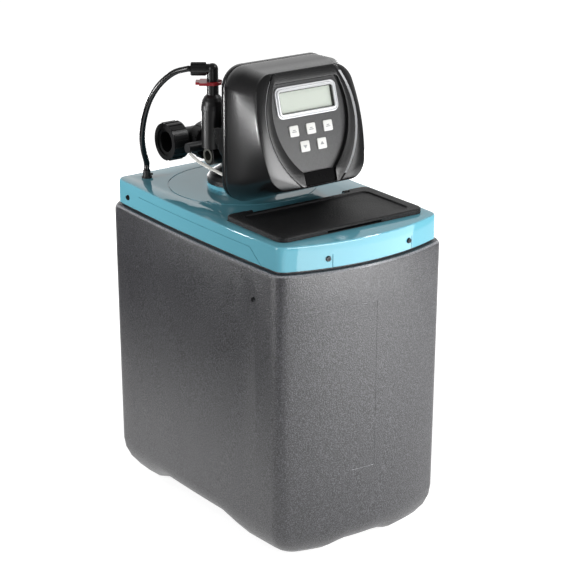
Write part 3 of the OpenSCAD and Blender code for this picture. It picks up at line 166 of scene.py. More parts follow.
near = add_node(tree, "ShaderNodeMapRange",
                {"From Min": GLOW_NEAR, "From Max": GLOW_FAR, "To Min": SHADOW_GLOW, "To Max": 1.0},
                {"Value": reach.outputs["Value"]})
glow = add_node(tree, "ShaderNodeMath", {"operation": "MULTIPLY"},
                {0: near.outputs[0], 1: seen_glow(tree, on_paper.outputs[0])})
tree.links.new(glow.outputs[0], shader.inputs["Emission Strength"])
floor_mesh = bpy.data.meshes.new("floor")
bm = bmesh.new()
bmesh.ops.create_grid(bm, x_segments=1, y_segments=1, size=FLOOR_SIZE / 2)
bm.to_mesh(floor_mesh)
bm.free()
floor_mesh.materials.append(paper)
floor = bpy.data.objects.new("floor", floor_mesh)
bpy.context.scene.collection.objects.link(floor)
print("floor", FLOOR_SIZE, "m wide")

# %% Room
AMBIENT = 0.2
DARK_SIDE = 0.06
WALL_FROM = 0.3
WALL_FULL = 0.85
world = bpy.data.worlds.new("studio")
world.use_nodes = True
bpy.context.scene.world = world
tree = world.node_tree
toward = add_node(tree, "ShaderNodeVectorMath", {"operation": "DOT_PRODUCT", 1: along},
                  {0: add_node(tree, "ShaderNodeTexCoord").outputs["Generated"]})
wall = add_node(tree, "ShaderNodeMapRange",
                {"interpolation_type": "SMOOTHSTEP", "From Min": WALL_FROM, "From Max": WALL_FULL,
                 "To Min": DARK_SIDE, "To Max": 1.0}, {"Value": toward.outputs["Value"]})
strength = add_node(tree, "ShaderNodeMath", {"operation": "MAXIMUM", 1: AMBIENT},
                    {0: seen_glow(tree, wall.outputs[0])})
tree.links.new(strength.outputs[0], tree.nodes["Background"].inputs["Strength"])
tree.nodes["Background"].inputs["Color"].default_value = linear("#ffffff")
print("room light", AMBIENT)

# %% Softboxes
def softbox(name, place, target, width, height, watts):
    """An area lamp at a place, turned to a target."""
    data = bpy.data.lights.new(name, "AREA")
    data.shape = "RECTANGLE"
    data.size = width
    data.size_y = height
    data.energy = watts
    lamp = bpy.data.objects.new(name, data)
    lamp.location = place
    lamp.rotation_euler = (Vector(target) - Vector(place)).to_track_quat("-Z", "Y").to_euler()
    bpy.context.scene.collection.objects.link(lamp)
    return lamp


HEAD_WALL = (-0.097, -0.07, 0.66)
softbox("front_softbox", (0.12, -1.35, 0.7), (0, -0.2, 0.5), 1.0, 0.44, 10.0)
softbox("right_softbox", (0.5, -1.1, 0.36), (0, -0.1, 0.4), 1.5, 0.7, 12.0)
softbox("left_softbox", (-2.3, 0.3, 0.9), (0, 0, 0.35), 0.7, 1.4, 30.0)
softbox("top_softbox", (1.1, -0.7, 2.0), (0, -0.2, 0.5), 0.35, 0.35, 8.0)
softbox("rear_softbox", (0.7, 1.9, 0.26), (0, 0.1, 0.3), 1.8, 0.44, 22.0)
softbox("low_strip", (-0.545, 0.325, 0.54), HEAD_WALL, 0.07, 0.09, 1.0)

# %% [markdown]
# ## Moulded plastics
# Most of the softener is moulded plastic. What tells one plastic from another is the mould: a blow-moulded
# tank is pebbled, a lid is grained, a cover is polished. So one function makes a moulded finish from the
# size of its grain in millimetres, how deep the grain is and how unevenly the surface shines.

# %% Moulded finish
CLOUD_MM = 71.4
DOT_LOW, DOT_HIGH = 0.42, 0.68


def moulded(name, colour, roughness, grain_mm, depth_mm, mottle, speckle_and_glint=0.0, **sockets):
    """A moulded plastic: grain as bump, a faint mottle in the colour and an uneven shine."""
    finish, tree, shader = new_finish(name, colour, roughness, **sockets)
    place = add_node(tree, "ShaderNodeTexCoord").outputs["Object"]
    grain = add_node(tree, "ShaderNodeTexNoise", {"Scale": 1 / (grain_mm * MM), "Detail": 2.0},
                     {"Vector": place})
    cloud = add_node(tree, "ShaderNodeTexNoise", {"Scale": 1 / (CLOUD_MM * MM), "Detail": 3.0},
                     {"Vector": place})
    base = Vector(linear(colour)[:3])
    tint = add_node(tree, "ShaderNodeMix", {"data_type": "RGBA", 6: (*(base * (1 - mottle)), 1.0),
                                            7: (*(base * (1 + mottle)), 1.0)}, {0: cloud.outputs[0]})
    colour_out = tint.outputs[2]
    # Speckle brightens the colour on the grain's high spots. On the pebbled, grained and filmed plastics
    # these bright dots are painted glints; elsewhere they are random tone.
    if speckle_and_glint:
        glint_and_tone_dots = add_node(tree, "ShaderNodeMapRange",
                        {"From Min": DOT_LOW, "From Max": DOT_HIGH, "To Min": 1 - speckle_and_glint / 2,
                         "To Max": 1 + speckle_and_glint * 1.5}, {"Value": grain.outputs[0]})
        colour_out = add_node(tree, "ShaderNodeVectorMath", {"operation": "SCALE"},
                              {0: colour_out, "Scale": glint_and_tone_dots.outputs[0]}).outputs[0]
    tree.links.new(colour_out, shader.inputs["Base Color"])
    shine = add_node(tree, "ShaderNodeMapRange", {"To Min": roughness * 0.85, "To Max": roughness * 1.15},
                     {"Value": cloud.outputs[0]})
    tree.links.new(shine.outputs[0], shader.inputs["Roughness"])
    relief = add_node(tree, "ShaderNodeBump", {"Strength": 1.0, "Distance": depth_mm * MM},
                      {"Height": grain.outputs[0]})
    tree.links.new(relief.outputs[0], shader.inputs["Normal"])
    return finish


FINISHES = {
    # Blow-moulded polyethylene: charcoal, with a coarse pebble as bump and bright dots on its high spots that
    # are painted glints
    "cabinet_plastic": moulded("pebbled_polyethylene", "#303033", 0.34, 1.8, 0.65, 0.06, 1.3,
                               Specular_IOR_Level=0.75),
    # Polished ABS: pale teal, as glossy as glazed tile
    "cover_plastic": moulded("polished_teal_abs", "#68abbc", 0.06, 9.0, 0.01, 0.02),
    # Grained polypropylene: near black and dull, with a leather-like grain and bright dots on it that are
    # painted glints
    "lid_plastic": moulded("grained_polypropylene", "#161617", 0.5, 2.2, 0.9, 0.1, 0.8,
                           Specular_IOR_Level=0.25),
    # Blackened steel: dark, with a soft metallic shine on the screw heads
    "screw_black": moulded("blackened_steel", "#3a3b3d", 0.28, 0.8, 0.02, 0.1, Metallic=1.0),
    # Drawn stainless steel: bright, with fine marks from the die
    "steel": moulded("drawn_stainless_steel", "#b9bcc0", 0.28, 0.6, 0.01, 0.05, Metallic=1.0),
    # Wound glass fibre in resin: pale, with the strands showing through as a soft grain
    "vessel_skin": moulded("wound_glass_fibre", "#c3cbc9", 0.35, 2.4, 0.12, 0.08, 0.1),
    # Moulded nylon: near black, with a silky shine
    "dark_plastic": moulded("dark_nylon", "#1b1c1e", 0.42, 1.2, 0.06, 0.08),
    # Ion exchange beads: amber grains of about half a millimetre, drawn coarser so that they show
    "resin_beads": moulded("resin_beads", "#b5742c", 0.5, 1.5, 0.5, 0.1, 0.5),
    # Acetal: ivory white, smooth, a little waxy
    "white_plastic": moulded("white_acetal", "#e6e4dc", 0.35, 1.5, 0.03, 0.03),
    # Glass-filled nylon: black, slightly rough, with a faint flow mottle
    "valve_plastic": moulded("glass_filled_nylon", "#131314", 0.34, 1.4, 0.1, 0.15, 0.16),
    # Nitrile rubber: black and matt
    "seal_rubber": moulded("nitrile_rubber", "#141414", 0.55, 0.9, 0.05, 0.08),
    # Smoke-grey acetal of the drain sleeve: mid grey, smooth
    "drain_white": moulded("smoke_grey_acetal", "#55554f", 0.35, 1.5, 0.03, 0.03),
    # Red acetal of the clip: deep red, glossy at the edges
    "clip_red": moulded("red_acetal", "#a3222a", 0.3, 1.5, 0.03, 0.06),
    # Extruded polyethylene tube: black, with a shine that runs along it
    "tube_black": moulded("black_polyethylene_tube", "#0e0e0f", 0.22, 2.0, 0.02, 0.1),
    # PVC ribbon cable: off-white, soft sheen
    "ribbon_white": moulded("white_pvc_ribbon", "#dddcd6", 0.4, 1.0, 0.03, 0.03),
    # Foamed polypropylene of the float: yellow, with small open cells
    "float_yellow": moulded("foamed_polypropylene", "#dcbf49", 0.55, 2.2, 0.15, 0.06, 0.1),
    # Injection-moulded ABS: black and satin, with a fine spark-eroded grain
    "head_plastic": moulded("satin_black_abs", "#0f0f10", 0.24, 1.5, 0.03, 0.05, 0.1,
                            Specular_IOR_Level=0.65),
    # Plated steel of the motor can: grey and half bright
    "motor_metal": moulded("plated_steel_can", "#a4a7ab", 0.3, 0.8, 0.02, 0.05, Metallic=1.0),
    # Turned brass: yellow, bright, with fine tool marks
    "pinion_brass": moulded("turned_brass", "#b8923f", 0.25, 0.6, 0.01, 0.05, Metallic=1.0),
    # Solder mask on glass-epoxy board: green, glossy, with the weave showing faintly
    "board_green": moulded("solder_mask_on_epoxy", "#1f5a37", 0.3, 3.0, 0.02, 0.1),
    # Liquid crystal glass: pale grey-green, lit a little from behind
    "display_green": moulded("lcd_glass", "#dfe6dc", 0.25, 4.0, 0.005, 0.02, Emission_Color=linear("#dfe8dc"),
                             Emission_Strength=0.22),
    # Clear acrylic: a thin pane that only shows by its reflections
    "window_clear": moulded("clear_acrylic", "#141614", 0.04, 9.0, 0.003, 0.01, Alpha=0.12, IOR=1.49),
    # Silver paint on ABS: light grey, with a soft metallic lustre
    "bright_trim": moulded("satin_silver_paint", "#dedfe1", 0.25, 0.9, 0.01, 0.03, Metallic=0.25),
    # Silicone rubber of the keys: white and soft-looking
    "button_white": moulded("white_silicone_rubber", "#d9d9d6", 0.4, 1.2, 0.02, 0.02),
}
for node in nodes.values():
    node.material_slots[0].material = FINISHES[node.material_slots[0].material.name]
# Polyethylene on the shoulder and the label lines: smoother, with little pebble left, and a paler colour that
# is a painted highlight
painted_highlight = moulded("polyethylene_painted_highlight", "#7c7c7f", 0.22, 1.8, 0.12, 0.06, 0.4)
# Screen-printed ink: grey, dull
ink = moulded("printed_grey_ink", "#8f9092", 0.6, 0.8, 0.005, 0.05)
# Grained film on the panel: dark grey, with a grain as bump whose bright dots are painted glints
panel_film = moulded("grained_panel_film", "#2e2e2f", 0.3, 1.4, 0.3, 0.06, 0.4, Specular_IOR_Level=0.8)
# Polished ABS: black, mirror-smooth
gloss_black = moulded("polished_black_abs", "#0a0a0b", 0.15, 6.0, 0.01, 0.05, Specular_IOR_Level=0.1)
nodes["name_plate"].material_slots[0].material = gloss_black
print("finishes", len(FINISHES), "and", painted_highlight.name, ink.name, panel_film.name, gloss_black.name)

# %% [markdown]
# ## Soft copies
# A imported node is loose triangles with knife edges. Moulded plastic has no such edge, and the thin light
# line that runs along a rounded edge is what makes it look real. So a copy is merged into one skin, flat
# triangles are joined, sharp edges are bevelled and the rest is shaded smooth.

# %% Helpers for soft copies
def new_piece(name, bm, body, slot, replaced=(), finish=None):
    """Makes a mesh object of bm that moves with a body and stands for the nodes it replaces."""
    mesh = bpy.data.meshes.new(name)
    bm.to_mesh(mesh)
    bm.free()
    mesh.materials.append(finish or FINISHES[slot])
    piece = bpy.data.objects.new(name, mesh)
    bpy.context.scene.collection.objects.link(piece)
    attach(piece, body)
    if replaced:
        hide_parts(*replaced)
    print(name, len(mesh.vertices), "points")
    return piece


def merged_copy(node):
    """A copy of a node's mesh as one skin, with its flat triangles joined."""
    bm = bmesh.new()
    bm.from_mesh(nodes[node].data)
    bmesh.ops.remove_doubles(bm, verts=bm.verts, dist=0.01 * MM)
    bmesh.ops.dissolve_limit(bm, angle_limit=math.radians(0.3), verts=bm.verts, edges=bm.edges)
    return bm


def sharper(edges, limit_deg):
    """The edges where two faces meet at more than a limit."""
    return [e for e in edges if len(e.link_faces) == 2 and e.calc_face_angle() > math.radians(limit_deg)]


def round_edges(bm, edges, width_mm, segments=2):
    """Bevels edges by a width in millimetres."""
    bmesh.ops.bevel(bm, geom=edges, offset=width_mm * MM, offset_type="OFFSET", segments=segments,
                    profile=0.5, affect="EDGES", clamp_overlap=False, material=-1)


def everything(bm):
    """All points, edges and faces of a mesh."""
    return bm.verts[:] + bm.edges[:] + bm.faces[:]


def whole(faces):
    """Faces with their edges and points, which a cut through only those faces needs."""
    return faces + list({e for f in faces for e in f.edges}) + list({v for f in faces for v in f.verts})


def smooth_shading(bm, limit_deg=32):
    """Smooth faces everywhere, with edges sharper than the limit kept crisp."""
    for face in bm.faces:
        face.smooth = True
    for edge in bm.edges:
        edge.smooth = len(edge.link_faces) == 2 and edge.calc_face_angle() < math.radians(limit_deg)


# %% [markdown]
# ## Cabinet and cover
# These two make up most of the picture. They keep their rounded shapes and need smooth skins and their
# fine lines: a groove along each side of the skirt that bends down near the front, a short one beside each
# front screw, and on the cabinet's front the faint lines of a label field. A line is cut by slicing the
# faces with planes on both of its sides and pushing the faces between them in or out. The cabinet's rounded
# shoulder and the top and bottom lines of its label field get a paler colour, which is a painted highlight.

# %% Lines cut into a skin
GROOVE = 1.2
GROOVE_DEEP = 1.4
FACING_LIMIT = 0.8


def groove(bm, facing, point, across, limits, deep, wedge=False):
    """Sinks a strip of the faces that look one way, or only its upper edge for a wedge.

    A limit is a point and a direction, and the strip stays behind it."""
    facing, across, point = Vector(facing), Vector(across).normalized(), Vector(point)
    cuts = [(point + across * GROOVE / 2, across), (point - across * GROOVE / 2, -across)]
    cuts += [(Vector(p), Vector(n).normalized()) for p, n in limits]
    for place, normal in cuts:
        flat = [f for f in bm.faces if f.normal.dot(facing) > FACING_LIMIT]
        bmesh.ops.bisect_plane(bm, geom=whole(flat), plane_co=place * MM, plane_no=normal)
    strip = [f for f in bm.faces if f.normal.dot(facing) > FACING_LIMIT
             and all((f.calc_center_median() / MM - place).dot(normal) < 0 for place, normal in cuts)]
    sunk = bmesh.ops.extrude_face_region(bm, geom=strip)
    floor_verts = [v for v in sunk["geom"] if isinstance(v, bmesh.types.BMVert)
                   and not (wedge and (v.co / MM - point).dot(across) < 0)]
    # A wedge's faces take the second slot; on the cabinet that slot's paler colour is a painted highlight
    for face in sunk["geom"]:
        if isinstance(face, bmesh.types.BMFace):
            face.material_index = int(wedge)
    bmesh.ops.translate(bm, vec=-facing * deep * MM, verts=floor_verts)
    bmesh.ops.delete(bm, geom=strip, context="FACES_ONLY")
    faces = len(strip)
    bmesh.ops.remove_doubles(bm, verts=bm.verts, dist=0.001 * MM)
    return faces


# %% Cabinet with the lines of its label field
FIELD_TOP, FIELD_LOW, FIELD_LEFT, FIELD_RIGHT = 408.0, 143.0, -122.0, 5.0
FIELD_LOW_LEFT = -36.0
FIELD_SLOPE, FIELD_SINK = 1.0, 0.25
SHOULDER_LOW, SHOULDER_FLAT, SHOULDER_STEEP = 440.0, 0.85, 0.35
FRONT = (0, -1, 0)
bm = merged_copy("cabinet_tank")
left_of_edge = ((FIELD_RIGHT, 0, 0), (1, 0, 0))
below_top = ((0, 0, FIELD_TOP), (0, 0, 1))
above_low = ((0, 0, FIELD_LOW), (0, 0, -1))
lines = 0
for height, left_end in ((FIELD_TOP, FIELD_LEFT), (FIELD_LOW, FIELD_LOW_LEFT)):
    right_of_end = ((left_end, 0, 0), (-1, 0, 0))
    lines += groove(bm, FRONT, (0, 0, height), (0, 0, 1), (right_of_end, left_of_edge), FIELD_SLOPE,
                    wedge=True)
lines += groove(bm, FRONT, (FIELD_RIGHT, 0, 0), (1, 0, 0), (below_top, above_low), FIELD_SINK)
# The shoulder's rounded faces take the second slot, whose paler colour is a painted highlight
shoulder = [f for f in bm.faces if SHOULDER_STEEP < f.normal.z < SHOULDER_FLAT
            and f.calc_center_median().z > SHOULDER_LOW * MM]
for face in shoulder:
    face.material_index = 1
smooth_shading(bm, 28)
cabinet = new_piece("cabinet", bm, "cabinet", "cabinet_plastic", ("cabinet_tank",))
cabinet.data.materials.append(painted_highlight)
print("line faces", lines, "shoulder faces", len(shoulder))

# %% Cover with grooves
LINE_Z, LINE_REAR, LINE_BEND = 494.0, 166.0, -143.0
BEND_SLOPE = (0, -23, 28)
SCREW_X, SCREW_LINE, SCREW_LINE_TOP, FLANK_START = 75.0, 7.0, 491.0, -200.0
before_rear = ((0, LINE_REAR, 0), (0, 1, 0))
behind_bend = ((0, LINE_BEND, 0), (0, -1, 0))
below_line = ((0, 0, LINE_Z), (0, 0, 1))
below_edge = ((0, 0, SCREW_LINE_TOP), (0, 0, 1))
before_flank = ((0, FLANK_START, 0), (0, 1, 0))
bm = merged_copy("top_cover")
for side in (-1, 1):
    flank = (side, 0, 0)
    by_screw = (side * SCREW_X + SCREW_LINE, 0, 0)
    cut = groove(bm, flank, (0, 0, LINE_Z), (0, 0, 1), (before_rear, behind_bend), GROOVE_DEEP)
    cut += groove(bm, flank, (0, LINE_BEND, LINE_Z), BEND_SLOPE, (below_line,), GROOVE_DEEP)
    cut += groove(bm, FRONT, by_screw, (1, 0, 0), (below_edge, before_flank), GROOVE_DEEP)
    print("groove faces", cut)
smooth_shading(bm, 28)
new_piece("cover", bm, "cabinet", "cover_plastic", ("top_cover",))

# %% [markdown]
# ## Outlines
# The head is a stack of outlines: the back, the rim of the face, the ridge round the middle and the sunken
# panel. Each is a rounded plate whose sides follow a curve, so one function makes a loop of edges from a
# corner radius and a half width at each height. Bridging one loop to the next gives a skin whose corners
# run smoothly from back to face.

# %% Loops of edges
CORNER_STEPS = 8
SIDE_CUTS = 24


def outline_loop(bm, frame_matrix, low, high, radius, half_width, lift):
    """Adds a closed loop of edges with rounded corners.

    The lift is a height over the frame, or a function of the point."""
    loop = bmesh.new()
    middle = (low + high) / 2
    nominal = half_width(middle)
    bmesh.ops.create_grid(loop, x_segments=1, y_segments=1, size=1.0)
    bmesh.ops.scale(loop, vec=(nominal, (high - low) / 2, 1), verts=loop.verts)
    bmesh.ops.translate(loop, vec=(0, middle, 0), verts=loop.verts)
    bmesh.ops.bevel(loop, geom=loop.verts[:], offset=radius, offset_type="OFFSET", segments=CORNER_STEPS,
                    profile=0.5, affect="VERTICES", clamp_overlap=False, material=-1)
    longest = sorted(loop.edges, key=lambda e: -e.calc_length())[:4]
    bmesh.ops.delete(loop, geom=loop.faces[:], context="FACES_ONLY")
    bmesh.ops.subdivide_edges(loop, edges=longest, cuts=SIDE_CUTS)
    for v in loop.verts:
        height = lift(v.co) if callable(lift) else lift
        spread = half_width(v.co.y) / nominal
        v.co = frame_matrix @ (Vector((v.co.x * spread, v.co.y, height)) * MM)
    mesh = bpy.data.meshes.new("loop")
    loop.to_mesh(mesh)
    loop.free()
    first = len(bm.edges)
    bm.from_mesh(mesh)
    bpy.data.meshes.remove(mesh)
    return range(first, len(bm.edges))


def skin(bm, loops):
    """Bridges each loop of edges to the next."""
    for first, second in zip(loops, loops[1:]):
        bm.edges.ensure_lookup_table()
        bmesh.ops.bridge_loops(bm, edges=[bm.edges[i] for i in (*first, *second)])


# %% [markdown]
# ## Control head
# The shell is widest at its back and bulges a little on the way to the face. Its face has a rounded rim, a
# border that slopes up to a curved ridge on each side, and a sunken panel that narrows to the name plate.
# The ridge's inner wall carries the bright trim.

# %% Curves of the face
FACE_TILT = 15.8
FACE_MIDDLE = Vector((0, -88, 640)) * MM
HEAD_MIDDLE_Z = 622.5 * MM
HEAD_W, HEAD_H, HEAD_R = 196.0, 213.0, 34.0
FACE_W, FACE_H, FACE_R, FACE_BOW = 192.0, 178.0, 26.0, 300.0
CROWN = 7.5
face_frame = Matrix.Translation(FACE_MIDDLE) @ Matrix.Rotation(math.radians(90 - FACE_TILT), 4, "X")
back_frame = Matrix.Translation((0, 0, HEAD_MIDDLE_Z)) @ Matrix.Rotation(math.radians(90), 4, "X")


def arc_width(half, radius, middle):
    """Half width of a shape whose sides are arcs, widest at a middle height."""
    return lambda v: half - radius + math.sqrt(radius * radius - (v - middle) ** 2)


face_sides = arc_width(FACE_W / 2, FACE_BOW, 0)
trim_sides = arc_width(83.0, 129.0, 12.0)
panel_sides = arc_width(69.0, 120.0, 23.0)
PLATE_HALF_W = 29.2
RECESS_TOP, RECESS_BOTTOM = 72.0, -86.2
RECESS_R, RIDGE_R = 4.0, 3.0
RIDGE_TOP, RIDGE_FOOT, RIDGE_REACH, RIDGE_FADE = 8.4, 6.2, 87.3, 4.0


def recess_sides(v):
    """The panel's arcs, with upright sides where the name plate sits."""
    return max(panel_sides(v), PLATE_HALF_W)


def ridge_lift(point):
    """The ridge's height, which fades out at the top and bottom of the face."""
    share = min(1.0, max(0.0, (RIDGE_REACH - abs(point.y)) / RIDGE_FADE))
    return RIDGE_FOOT + (RIDGE_TOP - RIDGE_FOOT) * share


print("face", FACE_W, "by", FACE_H, "mm")

# %% Opening for the display
OPENING_HALF_W, OPENING_LOW, OPENING_HIGH = 48.0, 26.5, 57.5


def faces_at(bm, lift):
    """The faces that lie flat at a height over the face's frame."""
    to_face = face_frame.inverted()
    return [f for f in bm.faces if all(abs((to_face @ v.co).z - lift * MM) < 0.05 * MM for v in f.verts)]


def cut_window(bm, lift=0.0):
    """Cuts the display's opening out of the panel's floor."""
    sides = face_frame.to_3x3()
    cuts = ((OPENING_HALF_W, 0, 0), (-OPENING_HALF_W, 0, 0), (0, OPENING_LOW, 1), (0, OPENING_HIGH, 1))
    for u, v, axis in cuts:
        bmesh.ops.bisect_plane(bm, geom=whole(faces_at(bm, lift)), plane_no=sides.col[axis],
                               plane_co=face_frame @ (Vector((u, v, 0)) * MM))
    middles = {f: face_frame.inverted() @ f.calc_center_median() / MM for f in faces_at(bm, lift)}
    hole = [f for f, m in middles.items() if abs(m.x) < OPENING_HALF_W and OPENING_LOW < m.y < OPENING_HIGH]
    print("window faces", len(hole))
    bmesh.ops.delete(bm, geom=hole, context="FACES")


# %% Loops of the head
def back_loop(inset, lift):
    """A loop of the head's back outline in the mesh being made."""
    half = HEAD_H / 2 - inset
    return outline_loop(bm, back_frame, -half, half, HEAD_R - inset, lambda v: HEAD_W / 2 - inset, lift)


def face_loop(inset, lift):
    """A loop of the face's outline."""
    half = FACE_H / 2 - inset
    return outline_loop(bm, face_frame, -half, half, FACE_R - inset, lambda v: face_sides(v) - inset, lift)


def ridge_loop(out, lift):
    """A loop along the ridge that carries the trim."""
    return outline_loop(bm, face_frame, -RIDGE_REACH, RIDGE_REACH, RIDGE_R,
                        lambda v: trim_sides(v) + out, lift)


def recess_loop(grow, lift):
    """A loop round the sunken panel."""
    return outline_loop(bm, face_frame, RECESS_BOTTOM - grow, RECESS_TOP + grow, RECESS_R + grow,
                        lambda v: recess_sides(v) + grow, lift)


# %% Head shell
SEAM_Y, SEAM_ROUND = 3.2, 1.6
TRIM_W, TRIM_FOOT, GROOVE_W, GROOVE_D = 2.0, 5.8, 1.0, 0.9
BELLY_OUT, BELLY_IN, BELLY_LIFT = 1.2, 0.4, 4.0
bm = bmesh.new()
belly_frame = back_frame.lerp(face_frame, 0.5)
belly_half_w = HEAD_W / 2 + BELLY_OUT
belly_half_h = (HEAD_H + FACE_H) / 4 - BELLY_IN
belly = outline_loop(bm, belly_frame, -belly_half_h, belly_half_h, (HEAD_R + FACE_R) / 2,
                     lambda v: belly_half_w, BELLY_LIFT)
trim_inside = -TRIM_W - GROOVE_W
# From the seam at the back to the panel's floor: each loop's inset and its height
loops = [back_loop(SEAM_ROUND, SEAM_Y), back_loop(0.5, SEAM_Y + 0.5), back_loop(0, SEAM_Y + SEAM_ROUND),
         back_loop(0, 11.0), belly, face_loop(0, -3.0), face_loop(0, 1.2), face_loop(0.5, 2.5),
         face_loop(1.6, 3.2), ridge_loop(1.6, ridge_lift), ridge_loop(0.3, ridge_lift),
         ridge_loop(-TRIM_W, TRIM_FOOT), ridge_loop(trim_inside, RIDGE_FOOT - GROOVE_D),
         ridge_loop(trim_inside, RIDGE_FOOT + 0.4), recess_loop(0.8, CROWN), recess_loop(0.2, CROWN - 0.2),
         recess_loop(0, CROWN - 0.8), recess_loop(0, 0.8), recess_loop(-0.8, 0.0)]
skin(bm, loops)
bm.edges.ensure_lookup_table()
bmesh.ops.edgeloop_fill(bm, edges=[bm.edges[i] for i in loops[-1]])
bmesh.ops.recalc_face_normals(bm, faces=bm.faces)
smooth_shading(bm, 34)
cut_window(bm)
new_piece("head_shell", bm, "cabinet", "head_plastic", ("front_shell",))

# %% [markdown]
# ## Back plate and panel film
# The plate closes the head's back. Only its outline shows, as a thin light line, so only the edges that lie
# on the rounded outline are bevelled and its holes stay crisp. The film is a thin grained sheet on the
# panel's floor: one loop, filled and cut out for the display, lies a hair in front of the shell.

# %% Back plate with a rounded rim
PLATE_ROUND, RIM_SLACK = 1.2, 0.5
bm = merged_copy("back_plate")


def on_rim(point):
    """True for a point on the plate's rounded outline."""
    x = max(0.0, abs(point.x) / MM - (HEAD_W / 2 - HEAD_R))
    z = max(0.0, abs(point.z - HEAD_MIDDLE_Z) / MM - (HEAD_H / 2 - HEAD_R))
    return math.hypot(x, z) > HEAD_R - RIM_SLACK


round_edges(bm, [e for e in sharper(bm.edges, 60) if all(on_rim(v.co) for v in e.verts)], PLATE_ROUND)
smooth_shading(bm, 34)
new_piece("rear_plate", bm, "cabinet", "head_plastic", ("back_plate",))

# %% Panel film
FILM_T = 0.15
bm = bmesh.new()
edge = recess_loop(-1.0, FILM_T)
bm.edges.ensure_lookup_table()
bmesh.ops.edgeloop_fill(bm, edges=[bm.edges[i] for i in edge])
for face in bm.faces:
    if face.normal.y > 0:
        face.normal_flip()
cut_window(bm, FILM_T)
new_piece("panel_film", bm, "cabinet", "head_plastic", finish=panel_film)

# %% [markdown]
# ## Trim, display and keys
# The trim is a bright strip on the ridge's inner wall, a hair in front of it. The display's frame is a
# stepped rim with a dark lining that runs down to the glass. The keys are soft copies, each with a printed
# mark.

# %% Bright trim
TRIM_PROUD = 0.12
TRIM_REACH = 84.2 * MM
bm = bmesh.new()
skin(bm, [ridge_loop(0.3, lambda p: ridge_lift(p) + TRIM_PROUD), ridge_loop(-TRIM_W, TRIM_FOOT + TRIM_PROUD)])
ends = [f for f in bm.faces if any(abs((face_frame.inverted() @ v.co).y) > TRIM_REACH for v in f.verts)]
bmesh.ops.delete(bm, geom=ends, context="FACES")
bmesh.ops.recalc_face_normals(bm, faces=bm.faces)
for face in bm.faces:
    face.smooth = True
    if face.normal.dot(face_frame.to_3x3().col[2]) < 0:
        face.normal_flip()
new_piece("trim_strips", bm, "cabinet", "bright_trim", ("trim_arcs",))


# %% Display frame and lining
WINDOW_W, WINDOW_H, WINDOW_V, WINDOW_R = 97.0, 32.0, 42.0, 2.0
# How far each loop stands outside the window, and its height over the panel
RIM_PROFILE = ((8.0, 0.0), (8.0, 2.2), (7.7, 2.7), (6.8, 2.9), (6.3, 2.5), (6.1, 1.3), (5.1, 1.3), (4.9, 2.6),
               (4.4, 3.6), (3.8, 4.0), (1.8, 4.0), (1.1, 3.4), (0.8, 2.4))
LINING_PROFILE = ((0.7, 2.8), (0.2, 2.6), (-0.6, 0.0), (-0.8, -1.9))


def window_loop(grow, lift):
    """A loop round the display's window."""
    half_h = WINDOW_H / 2 + grow
    return outline_loop(bm, face_frame, WINDOW_V - half_h, WINDOW_V + half_h, max(0.4, WINDOW_R + grow),
                        lambda v: WINDOW_W / 2 + grow, lift)


for name, profile, slot, replaced in (("display_rim", RIM_PROFILE, "bright_trim", ("display_frame",)),
                                      ("display_lining", LINING_PROFILE, "head_plastic", ())):
    bm = bmesh.new()
    skin(bm, [window_loop(grow, lift) for grow, lift in profile])
    bmesh.ops.recalc_face_normals(bm, faces=bm.faces)
    smooth_shading(bm, 34)
    new_piece(name, bm, "cabinet", slot, replaced)

# %% Soft keys with printed marks
KEYS = {"left": (-31.5, -2.0), "middle": (0.0, -2.0), "right": (31.5, -2.0), "down": (-15.75, -27.0),
        "up": (15.75, -27.0)}
KEY_PROUD, KEY_ROUND = 2.2, 0.5
MARK_T, BAR_H = 0.06, 1.4
# Each bar's height over the key's middle and its width
BARS = ((1.2, 5.0), (-1.2, 8.0))
ARROW_W, ARROW_H = 6.0, 5.0


def printed(bm, width, height, place, corners=4, turn=0.0):
    """Adds a thin printed shape, a bar or a triangle, at a place on the face."""
    made = bmesh.ops.create_circle(bm, cap_ends=True, segments=corners, radius=math.sqrt(0.5))["verts"]
    if corners == 4:
        bmesh.ops.rotate(bm, matrix=Matrix.Rotation(math.radians(45), 3, "Z"), verts=made)
    bmesh.ops.rotate(bm, matrix=Matrix.Rotation(math.radians(turn), 3, "Z"), verts=made)
    bmesh.ops.scale(bm, vec=(width * MM, height * MM, 1), verts=made)
    bmesh.ops.translate(bm, vec=Vector((place[0], place[1], KEY_PROUD + MARK_T)) * MM, verts=made)


for key, middle in KEYS.items():
    bm = merged_copy(f"button_{key}")
    round_edges(bm, sharper(bm.edges, 60), KEY_ROUND)
    smooth_shading(bm, 40)
    new_piece(f"{key}_key", bm, f"{key}_key", "button_white", (f"button_{key}",))
    bm = bmesh.new()
    if key in ("up", "down"):
        printed(bm, ARROW_W, ARROW_H, middle, corners=3, turn=0 if key == "up" else 180)
    else:
        for row, width in BARS:
            printed(bm, width, BAR_H, (middle[0], middle[1] + row))
    bmesh.ops.transform(bm, matrix=face_frame, verts=bm.verts)
    new_piece(f"{key}_mark", bm, f"{key}_key", "ribbon_white", finish=ink)

# %% [markdown]
# ## Lid
# The lid is one moulded plate. It starts as a flat sheet: three cuts take out the notch between the hinge
# ears, and each corner gets its own round. Then it is drawn up to its thickness, its upper edge is rounded
# over, and the shallow pan in its middle is pressed in. The wall underneath, which finds the opening, is
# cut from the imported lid.

